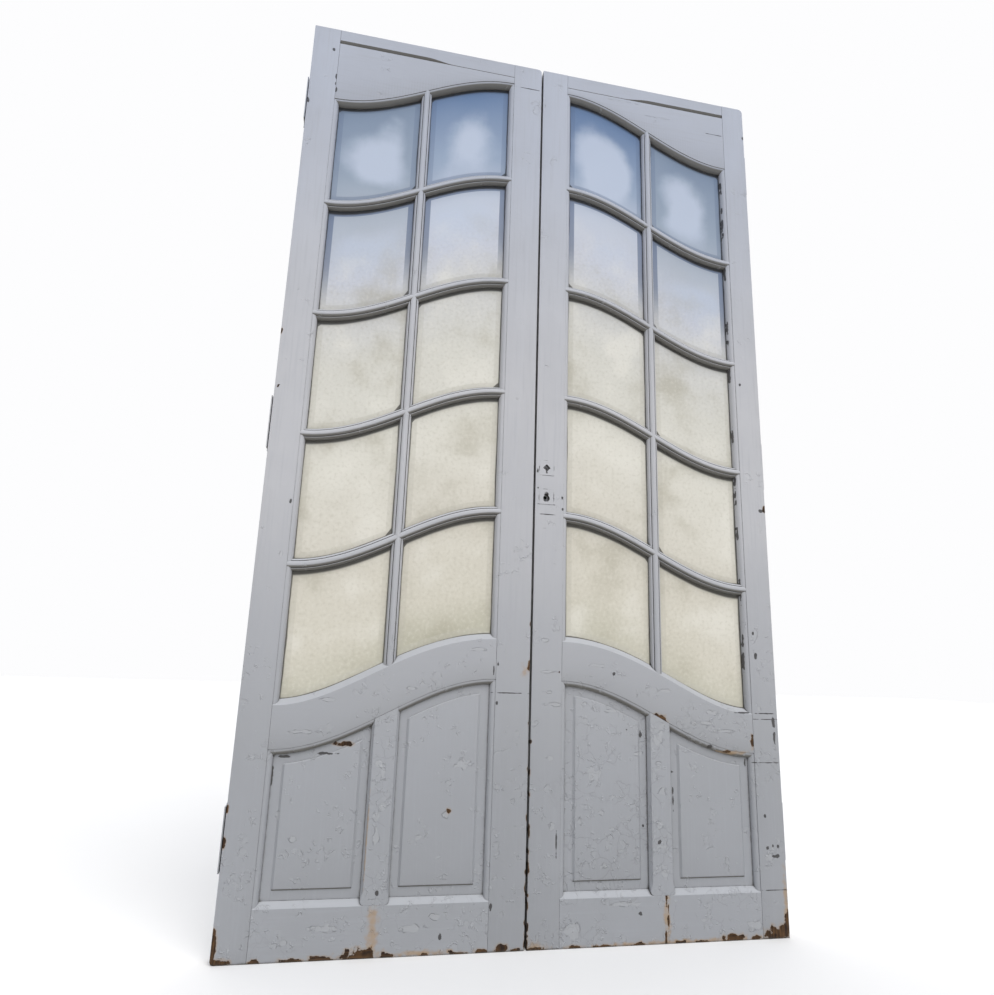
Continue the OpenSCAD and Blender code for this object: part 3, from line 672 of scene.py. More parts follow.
            # Dark marks: dirt, cracks and seams, and painted shade in the lock's bores and round its plates.
            elif mark is Mark.DARK:
                dark = add(tree, "Math", [inside, self.soot_and_shade_share], **TIMES)
                base = add(tree, "Mix", {0: dark, 6: base, 7: self.soot_and_shade}, **OVER)
                hairline = add(tree, "Math", [hairline, inside], **MOST)
            else:
                rust = add(tree, "MapRange", [rough, 0.9, 1.6, 0.4, 0.0], **SOFT)
                base = add(tree, "Mix", {0: rust, 6: base, 7: self.stain}, **OVER)
                bare = add(tree, "Math", [bare, inside], **MOST)
        fibre = add(tree, "TexNoise", {"Vector": along, "Scale": 1 / (self.fibre_mm * MM), "Detail": 4.0})
        fibre = add(tree, "Math", [fibre, add(tree, "Math", [ragged, 0.8], **TIMES)], **PLUS)
        fibre = add(tree, "MapRange", [fibre, 0.3, 0.7])
        wood = add(tree, "Mix", {0: fibre, 6: self.wood_dark, 7: self.wood}, **OVER)
        base = add(tree, "Mix", {0: bare, 6: base, 7: wood}, **OVER)

        # Painted shade: a dark colour laid in seams, quirks and inner corners, where ambient occlusion finds
        # them.
        open_air = add(tree, "AmbientOcclusion", {"Distance": self.crevice_mm * MM}, out="AO", samples=8)
        crevice_shade_share = add(tree, "Math", [open_air, add(tree, "Math", [ragged, 0.35], **TIMES)], **PLUS)
        crevice_shade_share = add(tree, "MapRange", [crevice_shade_share, 0.36, 0.84, 0.92, 0.0], **SOFT)
        base = add(tree, "Mix", {0: crevice_shade_share, 6: base, 7: self.crevice_shade}, **OVER)

        # Relief in millimetres: ripples and brush ridges on top, curled rims, chips and cracks.
        ripple = add(tree, "TexNoise", {"Vector": where, "Scale": 1 / (self.ripple_mm * MM), "Detail": 3.0})
        relief = add(tree, "Math", [brush, self.brush_h], **TIMES)
        for layer, step in ((ripple, self.ripple_h), (curl, self.curl_h), (lifted, -self.lifted_h),
                            (hairline, -self.hairline_h), (bare, -self.chip_h)):
            relief = add(tree, "Math", [relief, add(tree, "Math", [layer, step], **TIMES)], **PLUS)
        bump = add(tree, "Bump", {"Strength": 1.0, "Distance": MM, "Height": relief})
        dull = add(tree, "MapRange", [bare, 0.0, 1.0, self.satin, self.bare])
        dull = add(tree, "Math", [dull, add(tree, "Math", [tone, 0.5], **TIMES)], **PLUS)
        tree.links.new(base, shader.inputs["Base Color"])
        tree.links.new(dull, shader.inputs["Roughness"])
        tree.links.new(bump, shader.inputs["Normal"])
        return material


@dataclass(frozen=True)
class PlateGlass:
    """Old bevelled plate glass: a glossy face over a milky film of dust and lime, cream low down and turned
    blue-grey at the head by a painted sky reflection, with a painted cloud reflection paler in the middle of
    the upper panes, bevels painted deeper as reflections, and a painted shadow under each bar."""

    # The film's colours up the leaf: cream low down, and blue-grey at the head as a painted sky reflection.
    film_and_sky_reflection: tuple[tuple[float, str], ...] = (
        (0.0, "#c3c0ad"), (0.08, "#d8d3c4"), (0.2, "#dbd6c9"), (0.36, "#e2dfd4"), (0.5, "#dad8cf"),
        (0.6, "#d3d3d2"), (0.67, "#cdd0da"), (0.78, "#c6cedd"), (0.84, "#9dadc4"), (1.0, "#5f7ba3"),
    )
    # A painted cloud reflection for the upper panes.
    cloud_reflection: str = "#c6d0e2"
    smudge: str = "#aaa48f"
    lime: str = "#f0ede3"
    # Painted reflections on the bevels, low and high.
    bevel_low_reflection: str = "#bdb9ab"
    bevel_high_reflection: str = "#5f7090"
    # A dull painted sky reflection for the outer column's upper panes.
    dull_sky_reflection: str = "#98a3ae"
    # Dark colour for the putty line at the sight edge and for the painted shadow under a bar.
    line: str = "#2a2824"
    patch_mm: float = 170.0
    stipple_mm: float = 9.0
    haze_mm: float = 260.0
    wave_mm: float = 90.0
    opacity: float = 0.93
    glass_ior: float = 1.52
    gloss: float = 0.08

    def material(self) -> bpy.types.Material:
        """Makes the glass."""
        material, tree, shader, where = new_material("old_plate_glass")
        height, border, blue, middle, under_bar = (
            add(tree, "Attribute", {}, out="Fac", attribute_name=name) for name in PANE_NUMBERS)
        haze = add(tree, "TexNoise", {"Vector": where, "Scale": 1 / (self.haze_mm * MM), "Detail": 1.0})
        haze = add(tree, "Math", [haze, 0.5], **LESS)
        patch = add(tree, "TexNoise", {"Vector": where, "Scale": 1 / (self.patch_mm * MM), "Detail": 4.0})
        stipple = add(tree, "TexNoise", {"Vector": where, "Scale": 1 / (self.stipple_mm * MM), "Detail": 3.0})
        wavering = add(tree, "Math", [height, add(tree, "Math", [haze, 0.1], **TIMES)], **PLUS)
        base = add(tree, "ValToRGB", [wavering])
        stops = base.node.color_ramp.elements
        stops[0].color, stops[-1].color = linear(self.film_and_sky_reflection[0][1]), linear(self.film_and_sky_reflection[-1][1])
        for position, colour in self.film_and_sky_reflection[1:-1]:
            stops.new(position).color = linear(colour)
        high = add(tree, "MapRange", [height, 0.62, 0.8], **SOFT)

        # Painted reflections: a dull sky over the outer column's upper panes, and a pale cloud in the middle
        # of the upper panes.
        dull = add(tree, "Math", [add(tree, "Math", [1.0, blue], **LESS), high], **TIMES)
        base = add(tree, "Mix", {0: dull, 6: base, 7: self.dull_sky_reflection}, **OVER)
        cloud_reflection_share = add(tree, "Math", [middle, add(tree, "Math", [haze, 1.2], **TIMES)], **PLUS)
        frayed = add(tree, "Math", [add(tree, "Math", [patch, 0.5], **LESS), 0.9], **TIMES)
        cloud_reflection_share = add(tree, "MapRange", [add(tree, "Math", [cloud_reflection_share, frayed], **PLUS), 0.2, 0.66], **SOFT)
        cloud_reflection_share = add(tree, "Math", [cloud_reflection_share, add(tree, "Math", [high, 0.85], **TIMES)], **TIMES)
        base = add(tree, "Mix", {0: cloud_reflection_share, 6: base, 7: self.cloud_reflection}, **OVER)

        # Dust and lime on the lower panes: broad smudges, pale clearings and a fine stipple.
        dusty = add(tree, "MapRange", [height, 0.6, 0.8, 1.0, 0.0], **SOFT)
        for low, high_end, share, colour in ((0.5, 0.72, 0.5, self.smudge), (0.5, 0.3, 0.5, self.lime)):
            spread_out = add(tree, "MapRange", [patch, low, high_end, 0.0, share], **SOFT)
            spread_out = add(tree, "Math", [spread_out, dusty], **TIMES)
            base = add(tree, "Mix", {0: spread_out, 6: base, 7: colour}, **OVER)
        for low, high_end, share, colour in ((0.5, 0.72, 0.2, self.smudge), (0.5, 0.3, 0.2, self.lime)):
            grains = add(tree, "MapRange", [stipple, low, high_end, 0.0, share], **SOFT)
            grains = add(tree, "Math", [grains, dusty], **TIMES)
            base = add(tree, "Mix", {0: grains, 6: base, 7: colour}, **OVER)

        # The bevels, painted deeper as reflections, and the line of old putty and dirt at the sight edge,
        # widened under a bar by a painted shadow.
        bevel_reflection_share = add(tree, "MapRange", [border, 0.97, 1.0, 0.75, 0.0], **SOFT)
        bevel_reflection_share = add(tree, "Math", [bevel_reflection_share, add(tree, "MapRange", [height, 0.6, 0.7], **SOFT)], **TIMES)
        bevel_reflection_share = add(tree, "Math", [bevel_reflection_share, add(tree, "MapRange", [height, 0.79, 0.82, 1.0, 0.4])], **TIMES)
        base = add(tree, "Mix", {0: bevel_reflection_share, 6: base, 7: self.bevel_high_reflection}, **OVER)
        rim = add(tree, "MapRange", [border, 0.94, 1.0, 0.22, 0.0], **SOFT)
        rim = add(tree, "Math", [rim, dusty], **TIMES)
        base = add(tree, "Mix", {0: rim, 6: base, 7: self.bevel_low_reflection}, **OVER)
        uneven = add(tree, "Math", [add(tree, "Math", [patch, 0.5], **LESS), 0.3], **TIMES)
        line = add(tree, "Math", [border, uneven], **PLUS)
        line = add(tree, "MapRange", [line, 0.4, 0.5, 0.8, 0.0], **SOFT)
        # Painted shadow under a bar, from the pane's nearness to its head.
        bar_shadow = add(tree, "Math", [under_bar, uneven], **LESS)
        bar_shadow = add(tree, "MapRange", [bar_shadow, 0.14, 0.38, 0.0, 0.9], **SOFT)
        base = add(tree, "Mix", {0: add(tree, "Math", [line, bar_shadow], **MOST), 6: base, 7: self.line}, **OVER)

        wave = add(tree, "TexNoise", {"Vector": where, "Scale": 1 / (self.wave_mm * MM), "Detail": 1.0})
        ripple = add(tree, "Bump", {"Strength": 0.25, "Distance": MM, "Height": wave})
        grain = add(tree, "Bump", {"Strength": 0.35, "Distance": MM, "Height": stipple})
        tree.links.new(base, shader.inputs["Base Color"])
        tree.links.new(add(tree, "MapRange", [stipple, 0.3, 0.8, 0.3, 0.6]), shader.inputs["Roughness"])
        tree.links.new(grain, shader.inputs["Normal"])
        tree.links.new(ripple, shader.inputs["Coat Normal"])
        shader.inputs["Coat Weight"].default_value = 1.0
        shader.inputs["Coat Roughness"].default_value = self.gloss
        shader.inputs["Coat IOR"].default_value = self.glass_ior
        shader.inputs["Alpha"].default_value = self.opacity
        return material


@dataclass(frozen=True)
class OldMetal:
    """Wrought or rolled iron and steel fittings: brown rust over the skin, and painted shade deep inside,
    where hollows turn near black.
    """

    name: str
    skin: str
    rust: str
    rust_share: float
    metallic: float
    roughness: float
    hollow_shade: str = "#0c0b0a"
    rust_mm: float = 14.0
    grit_mm: float = 2.5
    hollow_mm: float = 40.0

    def material(self) -> bpy.types.Material:
        """Makes the metal."""
        material, tree, shader, where = new_material(self.name)
        blotch = add(tree, "TexNoise", {"Vector": where, "Scale": 1 / (self.rust_mm * MM), "Detail": 6.0})
        grit = add(tree, "TexNoise", {"Vector": where, "Scale": 1 / (self.grit_mm * MM), "Detail": 3.0})
        edge = 0.75 - 0.5 * self.rust_share
        rusty = add(tree, "MapRange", [blotch, edge - 0.08, edge + 0.08], **SOFT)
        base = add(tree, "Mix", {0: rusty, 6: self.skin, 7: self.rust}, **OVER)
        bump = add(tree, "Bump", {"Strength": 0.5, "Distance": 0.3 * MM, "Height": grit})
        # Painted shade: what ambient occlusion finds hidden turns near black and loses its metal sheen.
        open_air = add(tree, "AmbientOcclusion", {"Distance": self.hollow_mm * MM}, out="AO", samples=8)
        hollow_shade_share = add(tree, "MapRange", [open_air, 0.12, 0.5, 0.96, 0.0], **SOFT)
        base = add(tree, "Mix", {0: hollow_shade_share, 6: base, 7: self.hollow_shade}, **OVER)
        bright = add(tree, "Math", [1.0, add(tree, "Math", [rusty, hollow_shade_share], **MOST)], **LESS)
        tree.links.new(base, shader.inputs["Base Color"])
        tree.links.new(add(tree, "Math", [bright, self.metallic], **TIMES), shader.inputs["Metallic"])
        tree.links.new(add(tree, "MapRange", [rusty, 0, 1, self.roughness, 0.9]), shader.inputs["Roughness"])
        tree.links.new(bump, shader.inputs["Normal"])
        return material


# ---- Cutting recesses ----

# How far a cutter runs out past the face that it opens.
OPEN = 5.0
# How far it stays under a face that another cutter opens.
CLOSED = 2.0


def box_cutter(bm: bmesh.types.BMesh, low: Sequence[float], high: Sequence[float]) -> None:
    """Adds a box between two corners to a set of cutters."""
    centre = [(a + b) / 2 for a, b in zip(low, high, strict=True)]
    size = [abs(b - a) for a, b in zip(low, high, strict=True)]
    matrix = Matrix.Translation(centre) @ Matrix.Diagonal((*size, 1))
    bmesh.ops.create_cube(bm, size=1, matrix=matrix)


def drill(bm: bmesh.types.BMesh, x: float, z: float, radius: float, y0: float, y1: float) -> None:
    """Adds a drill that runs from front to back to a set of cutters."""
    matrix = Matrix.Translation((x, (y0 + y1) / 2, z)) @ Matrix.Rotation(math.pi / 2, 4, "X")
    bmesh.ops.create_cone(bm, cap_ends=True, segments=ROUND_SIDES, radius1=radius, radius2=radius,
                          depth=y1 - y0, matrix=matrix)


def cut(bm: bmesh.types.BMesh, cutters: bmesh.types.BMesh) -> None:
    """Cuts every cutter out of a mesh.

    Args:
        bm: The mesh, which is changed.
        cutters: Closed cutters. They are freed.
    """
    objects = []
    for source in (bm, cutters):
        bmesh.ops.recalc_face_normals(source, faces=source.faces)
        mesh = bpy.data.meshes.new("cutting")
        source.to_mesh(mesh)
        objects.append(bpy.data.objects.new("cutting", mesh))
        bpy.context.scene.collection.objects.link(objects[-1])
    cutters.free()
    work, tool = objects
    modifier = work.modifiers.new("cut", "BOOLEAN")
    modifier.operation = "DIFFERENCE"
    modifier.solver = "EXACT"
    modifier.use_self = True
    modifier.object = tool
    graph = bpy.context.evaluated_depsgraph_get()
    result = bpy.data.meshes.new_from_object(work.evaluated_get(graph))
    bm.clear()
    bm.from_mesh(result)
    bpy.data.meshes.remove(result)
    for obj in objects:
        mesh = obj.data
        bpy.data.objects.remove(obj)
        bpy.data.meshes.remove(mesh)


# ---- The leaf ----


@dataclass
class Leaf:
    """One door leaf: its stiles, rails, bars, panels and panes."""

    plan: LeafPlan
    paint: OilPaint
    glass: bpy.types.Material
    blemishes: dict[str, list[Blemish]]
    wear: dict[str, float]
    hinge_radii: tuple[float, float, float, float]
    meeting_radii: tuple[float, float, float, float]
    joint_gap: float = 0.3
    curve_steps: int = 64
    field_foot: float = 147.0
    field_head: float = 40.0
    field_raise: float = 5.0
    field_chamfer: float = 6.0
    stile_margin: float = 37.0
    muntin_margin: float = 32.5
    glass_bevel: float = 28.0
    glass_rise: float = 2.0
    glass_edge: float = 3.0
    glass_bed: float = 1.0
    stop_h: float = 11.0
    stop_d: float = 8.0
    stop_len: float = 350.0
    stop_fade: float = 90.0
    bar_count: int = 4
    row_count: int = 5
    # Recesses, let in from the faces and the edges
    hinge_h: float = 140.0
    hinge_y: float = 8.0
    hinge_t: float = 3.0
    forend_t: float = 3.0
    forend_over: float = 20.0
    case_y: tuple[float, float] = (14.0, 28.0)
    spindle_bore: tuple[float, float] = (12.0, 0.0)
    key_bore: tuple[float, float] = (10.5, 2.0)
    pocket: float = 18.0
    bolt_play: float = 0.3
    flush_plate: tuple[float, float] = (10.0, 200.0)
    flush_channel: tuple[float, float] = (50.0, 180.0)
    flush_rod: tuple[float, float] = (-1.0, 70.0)
    channel_w: float = 12.0
    channel_in: float = 16.0
    rod_in: float = 10.0
    rod_bore: float = 4.1
    # Muntin
    muntin_corner: float = 9.0
    muntin_depth: float = 10.0
    run_out_z: float = 6.0
    run_out_len: float = 26.0
    scribe_gap: float = 0.4
    # Laps, where a member runs into its neighbour
    lap: float = 3.0
    stile_lap: float = 2.0
    bar_lap: float = 2.0
    tongue: float = 4.0
    muntin_tongue: float = 1.5
    foot_tongue: float = 9.0
    panel_play: float = 0.2
    pane_play: float = 1.0

    def dress(self, piece: str, grain: Grain) -> bpy.types.Material:
        """Paint for one of the leaf's members, with its own marks.

        Args:
            piece: The member's name, without the side.
            grain: The way of its grain.

        Returns:
            The material.
        """
        name = f"grey_oil_paint_{self.plan.node(piece)}"
        blemishes, wear = self.blemishes.get(piece, []), self.wear.get(piece, 1.0)
        return self.paint.material(name, self.plan, grain, blemishes, wear)

    def emit(self, bm: bmesh.types.BMesh, piece: str, grain: Grain, suffix: str = "wood") -> None:
        """Finishes one wooden member and puts it in the frame."""
        finish_piece(bm, self.plan, f"{self.plan.node(piece)}_{suffix}", [self.plan.node(piece)],
                     self.dress(piece, grain))

    def cad_box(self, node: str) -> tuple[Vector, Vector]:
        """Corners of a CAD node in the leaf's own millimetres."""
        inverse = self.plan.place().inverted()
        a, b = (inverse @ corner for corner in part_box(node))
        return Vector(map(min, a, b)), Vector(map(max, a, b))

    # -- stiles --

    def stile_mouldings(self, bm: bmesh.types.BMesh, edge: float, way: float, lift: float) -> None:
        """Adds the worked edges of a stile, one run beside the glass and one beside the panels.

        Args:
            bm: The stile's mesh.
            edge: x of the stile's edge at the opening.
            way: 1 where the opening lies at greater x, or -1.
            lift: How far the curve stands above its height at the hinge stile.
        """
        plan, j = self.plan, JOINERY
        t = plan.thickness
        inside = -self.stile_lap
        glazed = [(inside, j.quirk), *j.ovolo(j.stick_d), (j.stick_w, j.glass_y), (j.rebate_n, j.glass_y),
                  (j.rebate_n, t - 0.3), (inside, t - 0.3)]
        front = [(inside, j.quirk), *j.ovolo(j.panel_stick_d)]
        panelled = front + [(n, t - y) for n, y in reversed(front)]
        runs = (
            (glazed, plan.lock_z + lift + j.lock_rail_w - self.lap, plan.head_z + lift + self.lap),
            (panelled, plan.bottom_rail_h - self.lap, plan.lock_z + lift + self.lap),
        )
        for profile, z0, z1 in runs:
            sweep(bm, [z0, z1], lambda z, p=profile: [Vector((edge + way * n, y, z)) for n, y in p])

    def build_hinge_stile(self) -> None:
        """Hinge stile, let in for the hinges."""
        plan = self.plan
        bm = bmesh.new()
        outline = rounded(0, 0, plan.hinge_w, plan.height, self.hinge_radii)
        board(bm, outline, 0, plan.thickness, JOINERY.arris)
        cutters = bmesh.new()
        low, high = self.cad_box(plan.node("hinge_door_halves"))
        flap = self.hinge_h
        for z in (low.z, (low.z + high.z - flap) / 2, high.z - flap):
            box_cutter(cutters, (-OPEN, self.hinge_y, z), (self.hinge_t, plan.thickness + OPEN, z + flap))
        cut(bm, cutters)
        self.stile_mouldings(bm, plan.hinge_w, 1, 0)
        self.emit(bm, "hinge_stile", Grain.UPRIGHT)

    def lock_cutters(self) -> bmesh.types.BMesh:
        """Cutters for the lock's case, its forend, its two face plates and the bores behind them."""
        cutters, out = bmesh.new(), self.plan.width + OPEN
        low, high = self.cad_box("lock_case")
        box_cutter(cutters, (high.x - self.forend_t, low.y, low.z), (out, high.y, high.z))
        box_cutter(cutters, (low.x, self.case_y[0], low.z + self.forend_over),
                   (self.plan.width - CLOSED, self.case_y[1], high.z - self.forend_over))
        for node, radius, drop in (("spindle_plate", *self.spindle_bore), ("keyhole_plate", *self.key_bore)):
            low, high = self.cad_box(node)
            box_cutter(cutters, (low.x, -OPEN, low.z), high)
            centre = (low + high) / 2
            drill(cutters, centre.x, centre.z - drop, radius, 1, self.plan.thickness + OPEN)
        return cutters

    def strike_cutters(self) -> bmesh.types.BMesh:
        """Cutters for the strike plate, the two pockets behind it, and the flush bolts."""
        plan, cutters = self.plan, bmesh.new()
        width, middle, half = plan.width, plan.thickness / 2, self.channel_w / 2
        low, high = self.cad_box("strike_plate")
        box_cutter(cutters, low, (width + OPEN, high.y, high.z))
        for bolt in ("latch_bolt", "dead_bolt"):
            low, high = self.cad_box(bolt)
            play = Vector((0, self.bolt_play, 1 + self.bolt_play))
            box_cutter(cutters, (width - self.pocket, *(low - play).yz), (width + 1, *(high + play).yz))
        low, high = self.cad_box("flush_bolt_plates")
        for mouth, inward in ((0.0, 1), (plan.height, -1)):
            plate, channel, rod = (sorted(mouth + inward * z for z in ends)
                                   for ends in (self.flush_plate, self.flush_channel, self.flush_rod))
            box_cutter(cutters, (low.x, low.y, plate[0]), (width + OPEN, high.y, plate[1]))
            box_cutter(cutters, (width - self.channel_in, middle - half, channel[0]),
                       (width - 1, middle + half, channel[1]))
            centre = Matrix.Translation((width - self.rod_in, middle, (rod[0] + rod[1]) / 2))
            bmesh.ops.create_cone(cutters, cap_ends=True, segments=ROUND_SIDES, radius1=self.rod_bore,
                                  radius2=self.rod_bore, depth=rod[1] - rod[0], matrix=centre)
        return cutters

    def build_meeting_stile(self) -> None:
        """Meeting stile, with the lock's recesses or those of its strike and flush bolts."""
        plan = self.plan
        bm = bmesh.new()
        edge = plan.width - plan.meeting_w
        outline = rounded(edge, 0, plan.width, plan.height, self.meeting_radii)
        board(bm, outline, 0, plan.thickness, JOINERY.arris)
        cut(bm, self.lock_cutters() if plan.side is Side.RIGHT else self.strike_cutters())
        self.stile_mouldings(bm, edge, -1, plan.rise)
        self.emit(bm, "meeting_stile", Grain.UPRIGHT)

    # -- rails --

    def stations(self) -> list[float]:
        """Stations along a curved member, close together at its eased ends."""
        gap, ease = self.joint_gap, self.joint_gap + JOINERY.arris
        end = self.plan.opening
        return [gap, ease, *spread(ease, end - ease, self.curve_steps)[1:-1], end - ease, end - gap]

    def end_ease(self, u: float, y: float) -> float:
        """Depth y of a face point, drawn back a little at a member's two ends."""
        at_end = min(u, self.plan.opening - u) <= self.joint_gap + 1e-6
        if not at_end:
            return y
        return clamp(y, JOINERY.arris * 0.7, self.plan.thickness - JOINERY.arris * 0.7)

    def curved_member(self, profile: Sequence[Point], base: float) -> Callable[[float], list[Vector]]:
        """Section function of a member that follows the S curve at height base."""
        return lambda u: [self.plan.on_curve(u, base, n, self.end_ease(u, y)) for n, y in profile]

    def build_top(self) -> None:
        """Straight top rail, and the board between it and the S curve over the glass."""
        plan, gap = self.plan, self.joint_gap
        ease, t = JOINERY.arris, plan.thickness

        def rail(u: float) -> list[Vector]:
            """Ring of the top rail at u, whose lower edge is stopped-chamfered towards the hinges."""
            fade = smooth((self.stop_len - u) / self.stop_fade)
            foot, head = plan.top_rail_z + gap, plan.height
            ring = [
                (ease + (self.stop_d - ease) * fade, foot), (0.0, foot + ease + (self.stop_h - ease) * fade),
                (0.0, head - ease), (ease, head), (t - ease, head), (t, head - ease),
                (t, foot + ease), (t - ease, foot),
            ]
            return [Vector((plan.hinge_w + u, self.end_ease(u, y), z)) for y, z in ring]

        bm = bmesh.new()
        sweep(bm, self.stations(), rail)
        self.emit(bm, "top_rail", Grain.LEVEL)

        edge = JOINERY.spandrel_edge(t)
        top = plan.top_rail_z

        def section(u: float) -> list[Vector]:
            """Ring of the board over the glass at u."""
            crown = [(0.0, top - ease), (ease, top), (t - ease, top), (t, top - ease)]
            straight = [Vector((plan.hinge_w + u, self.end_ease(u, y), z)) for y, z in crown]
            return straight + [plan.on_curve(u, plan.head_z, n, self.end_ease(u, y)) for n, y in edge]

        bm = bmesh.new()
        sweep(bm, self.stations(), section)
        self.emit(bm, "spandrel", Grain.LEVEL)

    def build_lock_rail(self) -> None:
        """S-curved lock rail."""
        bm = bmesh.new()
        profile = JOINERY.lock_rail(self.plan.thickness)
        sweep(bm, self.stations(), self.curved_member(profile, self.plan.lock_z))
        self.emit(bm, "lock_rail", Grain.LEVEL)

    def build_bottom_rail(self) -> None:
        """Bottom rail with its chamfered top edge."""
        plan = self.plan
        profile = JOINERY.bottom_rail(plan.bottom_rail_h, plan.thickness)
        bm = bmesh.new()
        sweep(bm, self.stations(),
              lambda u: [Vector((plan.hinge_w + u, self.end_ease(u, y), z)) for z, y in profile])
        self.emit(bm, "bottom_rail", Grain.LEVEL)

    # -- muntin and panels --

    def build_muntin(self) -> None:
        """Muntin between the panels, whose chamfers run out above the foot, which is rounded off."""
        plan, j = self.plan, JOINERY
        centre = plan.hinge_w + plan.opening / 2
        foot = plan.bottom_rail_h + self.joint_gap
        half, corner, t = plan.muntin_w / 2, self.muntin_corner, plan.thickness
        straight_top = plan.lock_z + 20

        def section(z: float) -> list[Vector]:
            """Ring of the muntin at height z, whose last station is scribed to the lock rail."""
            chamfer = j.muntin_chamfer * smooth((z - foot - self.run_out_z) / self.run_out_len)
            drop = clamp(foot + corner - z, 0, corner)
            full = half + j.muntin_chamfer - (corner - math.sqrt(corner**2 - drop**2))
            face = full - max(chamfer, 0.5)
            cheek = max(self.muntin_depth * chamfer / j.muntin_chamfer, 0.5)
            ring = [(-face, 0), (face, 0), (full, cheek), (full, t - cheek), (face, t), (-face, t),
                    (-full, t - cheek), (-full, cheek)]
            if z <= straight_top:
                return [Vector((centre + x, y, z)) for x, y in ring]
            middle = plan.opening / 2
            return [
                Vector((centre + x, y, plan.beside(middle + x, plan.lock_z, -self.scribe_gap)))
                for x, y in ring
            ]

        bm = bmesh.new()
        rounding, run_out = spread(foot, foot + corner, 6), spread(foot + corner + 3, foot + 36, 8)
        sweep(bm, [*rounding, *run_out, straight_top, straight_top + 1], section)
        self.emit(bm, "panel_muntin", Grain.UPRIGHT)

    def build_panel(self, column: Column) -> None:
        """Raised panel that floats in its grooves.

        Args:
            column: Beside the hinge stile, or beside the meeting stile.
        """
        plan, j = self.plan, JOINERY
        middle, half = plan.opening / 2, plan.muntin_w / 2
        outer = column is Column.OUTER
        a = self.tongue if outer else middle + half - self.muntin_tongue
        b = middle - half + self.muntin_tongue if outer else plan.opening - self.tongue
        field_a = a + (self.stile_margin if outer else self.muntin_margin)
        field_b = b - (self.muntin_margin if outer else self.stile_margin)
        foot = plan.bottom_rail_h + j.chamfer_w - self.foot_tongue
        face = j.groove_y + self.panel_play
        step = self.field_chamfer

        def section(u: float) -> list[Vector]:
            """Ring of the panel at u, its front first and then its back."""
            rise = smooth((min(u - field_a, field_b - u) + step) / step)
            head = plan.beside(u, plan.lock_z, -self.field_head)
            rows = [(foot, 0.0), (self.field_foot - step, 0.0), (self.field_foot - step * 0.4, 0.85 * rise),
                    (self.field_foot, rise), (head, rise), (head + step * 0.6, 0.85 * rise),
                    (head + step, 0.0), (plan.beside(u, plan.lock_z, -self.tongue), 0.0)]
            x = plan.hinge_w + u
            front = [Vector((x, face - self.field_raise * r, z)) for z, r in rows]
            back = [Vector((x, plan.thickness - p.y, p.z)) for p in reversed(front)]
            return front + back

        stations = [a, field_a - step, field_a - step * 0.6, *spread(field_a, field_b, 24),
                    field_b + step * 0.6, field_b + step, b]
        bm = bmesh.new()
        sweep(bm, stations, section)
        self.emit(bm, f"{column.value}_panel", Grain.UPRIGHT)

    # -- glazing --

    def build_bars(self) -> None:
        """Upright bar and the four S-curved cross bars, whose mouldings mitre where they meet."""
        plan, j = self.plan, JOINERY
        centre = plan.hinge_w + plan.opening / 2
        profile = j.bar()

        def upright(end: float) -> list[Vector]:
            """Ring of the upright bar at its foot, 0, or its head, 1."""
            base, n = (plan.lock_z, j.lock_rail_w - self.bar_lap) if end == 0 else (plan.head_z, self.lap)
            return [Vector((centre + x, y, plan.beside(plan.opening / 2 + x, base, n))) for x, y in profile]

        bm = bmesh.new()
        sweep(bm, [0, 1], upright)
        self.emit(bm, "upright_bar", Grain.UPRIGHT)
        bm = bmesh.new()
        for i in range(1, self.bar_count + 1):
            sweep(bm, spread(0.0, plan.opening, self.curve_steps),
                  lambda u, z=plan.bar_z(i): [plan.on_curve(u, z, n, y) for n, y in profile])
        self.emit(bm, "cross_bars", Grain.LEVEL)

    def mitre_corners(self, bm: bmesh.types.BMesh, edge_y: float) -> None:
        """Splits the four quads at a pane's front corners along their mitres.

        Args:
            bm: The pane.
            edge_y: Depth of its front at the edge.
        """
        for face in [f for f in bm.faces if len(f.verts) == 4]:
            sunk = [v for v in face.verts if v.co.y < edge_y - self.glass_rise / 2]
            rim = [v for v in face.verts if abs(v.co.y - edge_y) < self.glass_rise / 2]
            if len(sunk) == 1 and len(rim) == 3:
                corner = max(rim, key=lambda v: (v.co - sunk[0].co).length)
                bmesh.ops.connect_vert_pair(bm, verts=[corner, sunk[0]])

    def build_pane(self, column: Column, row: int) -> None:
        """One bevelled pane, which carries its shares of height, border and middle for the finish.

        Args:
            column: Beside the hinge stile, or beside the meeting stile.
            row: 1 at the bottom to 5 at the top.
        """
        plan, j = self.plan, JOINERY
        web, rebate, play = j.web_w / 2, j.rebate_n, self.pane_play
        middle = plan.opening / 2
        outer = column is Column.OUTER
        a = rebate + play if outer else middle + web + play
        b = middle - web - play if outer else plan.opening - rebate - play
        low = (plan.lock_z, j.lock_rail_w + rebate + play) if row == 1 else (plan.bar_z(row - 1), web + play)
        high = (plan.head_z, -rebate - play) if row == self.row_count else (plan.bar_z(row), -web - play)
        edge_y = j.glass_y + self.glass_bed
        bevel = self.glass_bevel

        def rows(u: float) -> list[float]:
            """Heights of the pane's rows of points at u."""
            foot, head = plan.beside(u, *low), plan.beside(u, *high)
            return [foot, *spread(foot + bevel, head - bevel, 6), head]

        def section(u: float) -> list[Vector]:
            """Ring of the pane at u, its front first and then its back."""
            heights = rows(u)
            up = clamp(min(u - a, b - u) / bevel)
            x = plan.hinge_w + u
            rises = [0, *[self.glass_rise * up] * (len(heights) - 2), 0]
            front = [Vector((x, edge_y - rise, z)) for rise, z in zip(rises, heights, strict=True)]
            back = [Vector((x, edge_y + self.glass_edge, z)) for z in reversed(heights)]
            return front + back

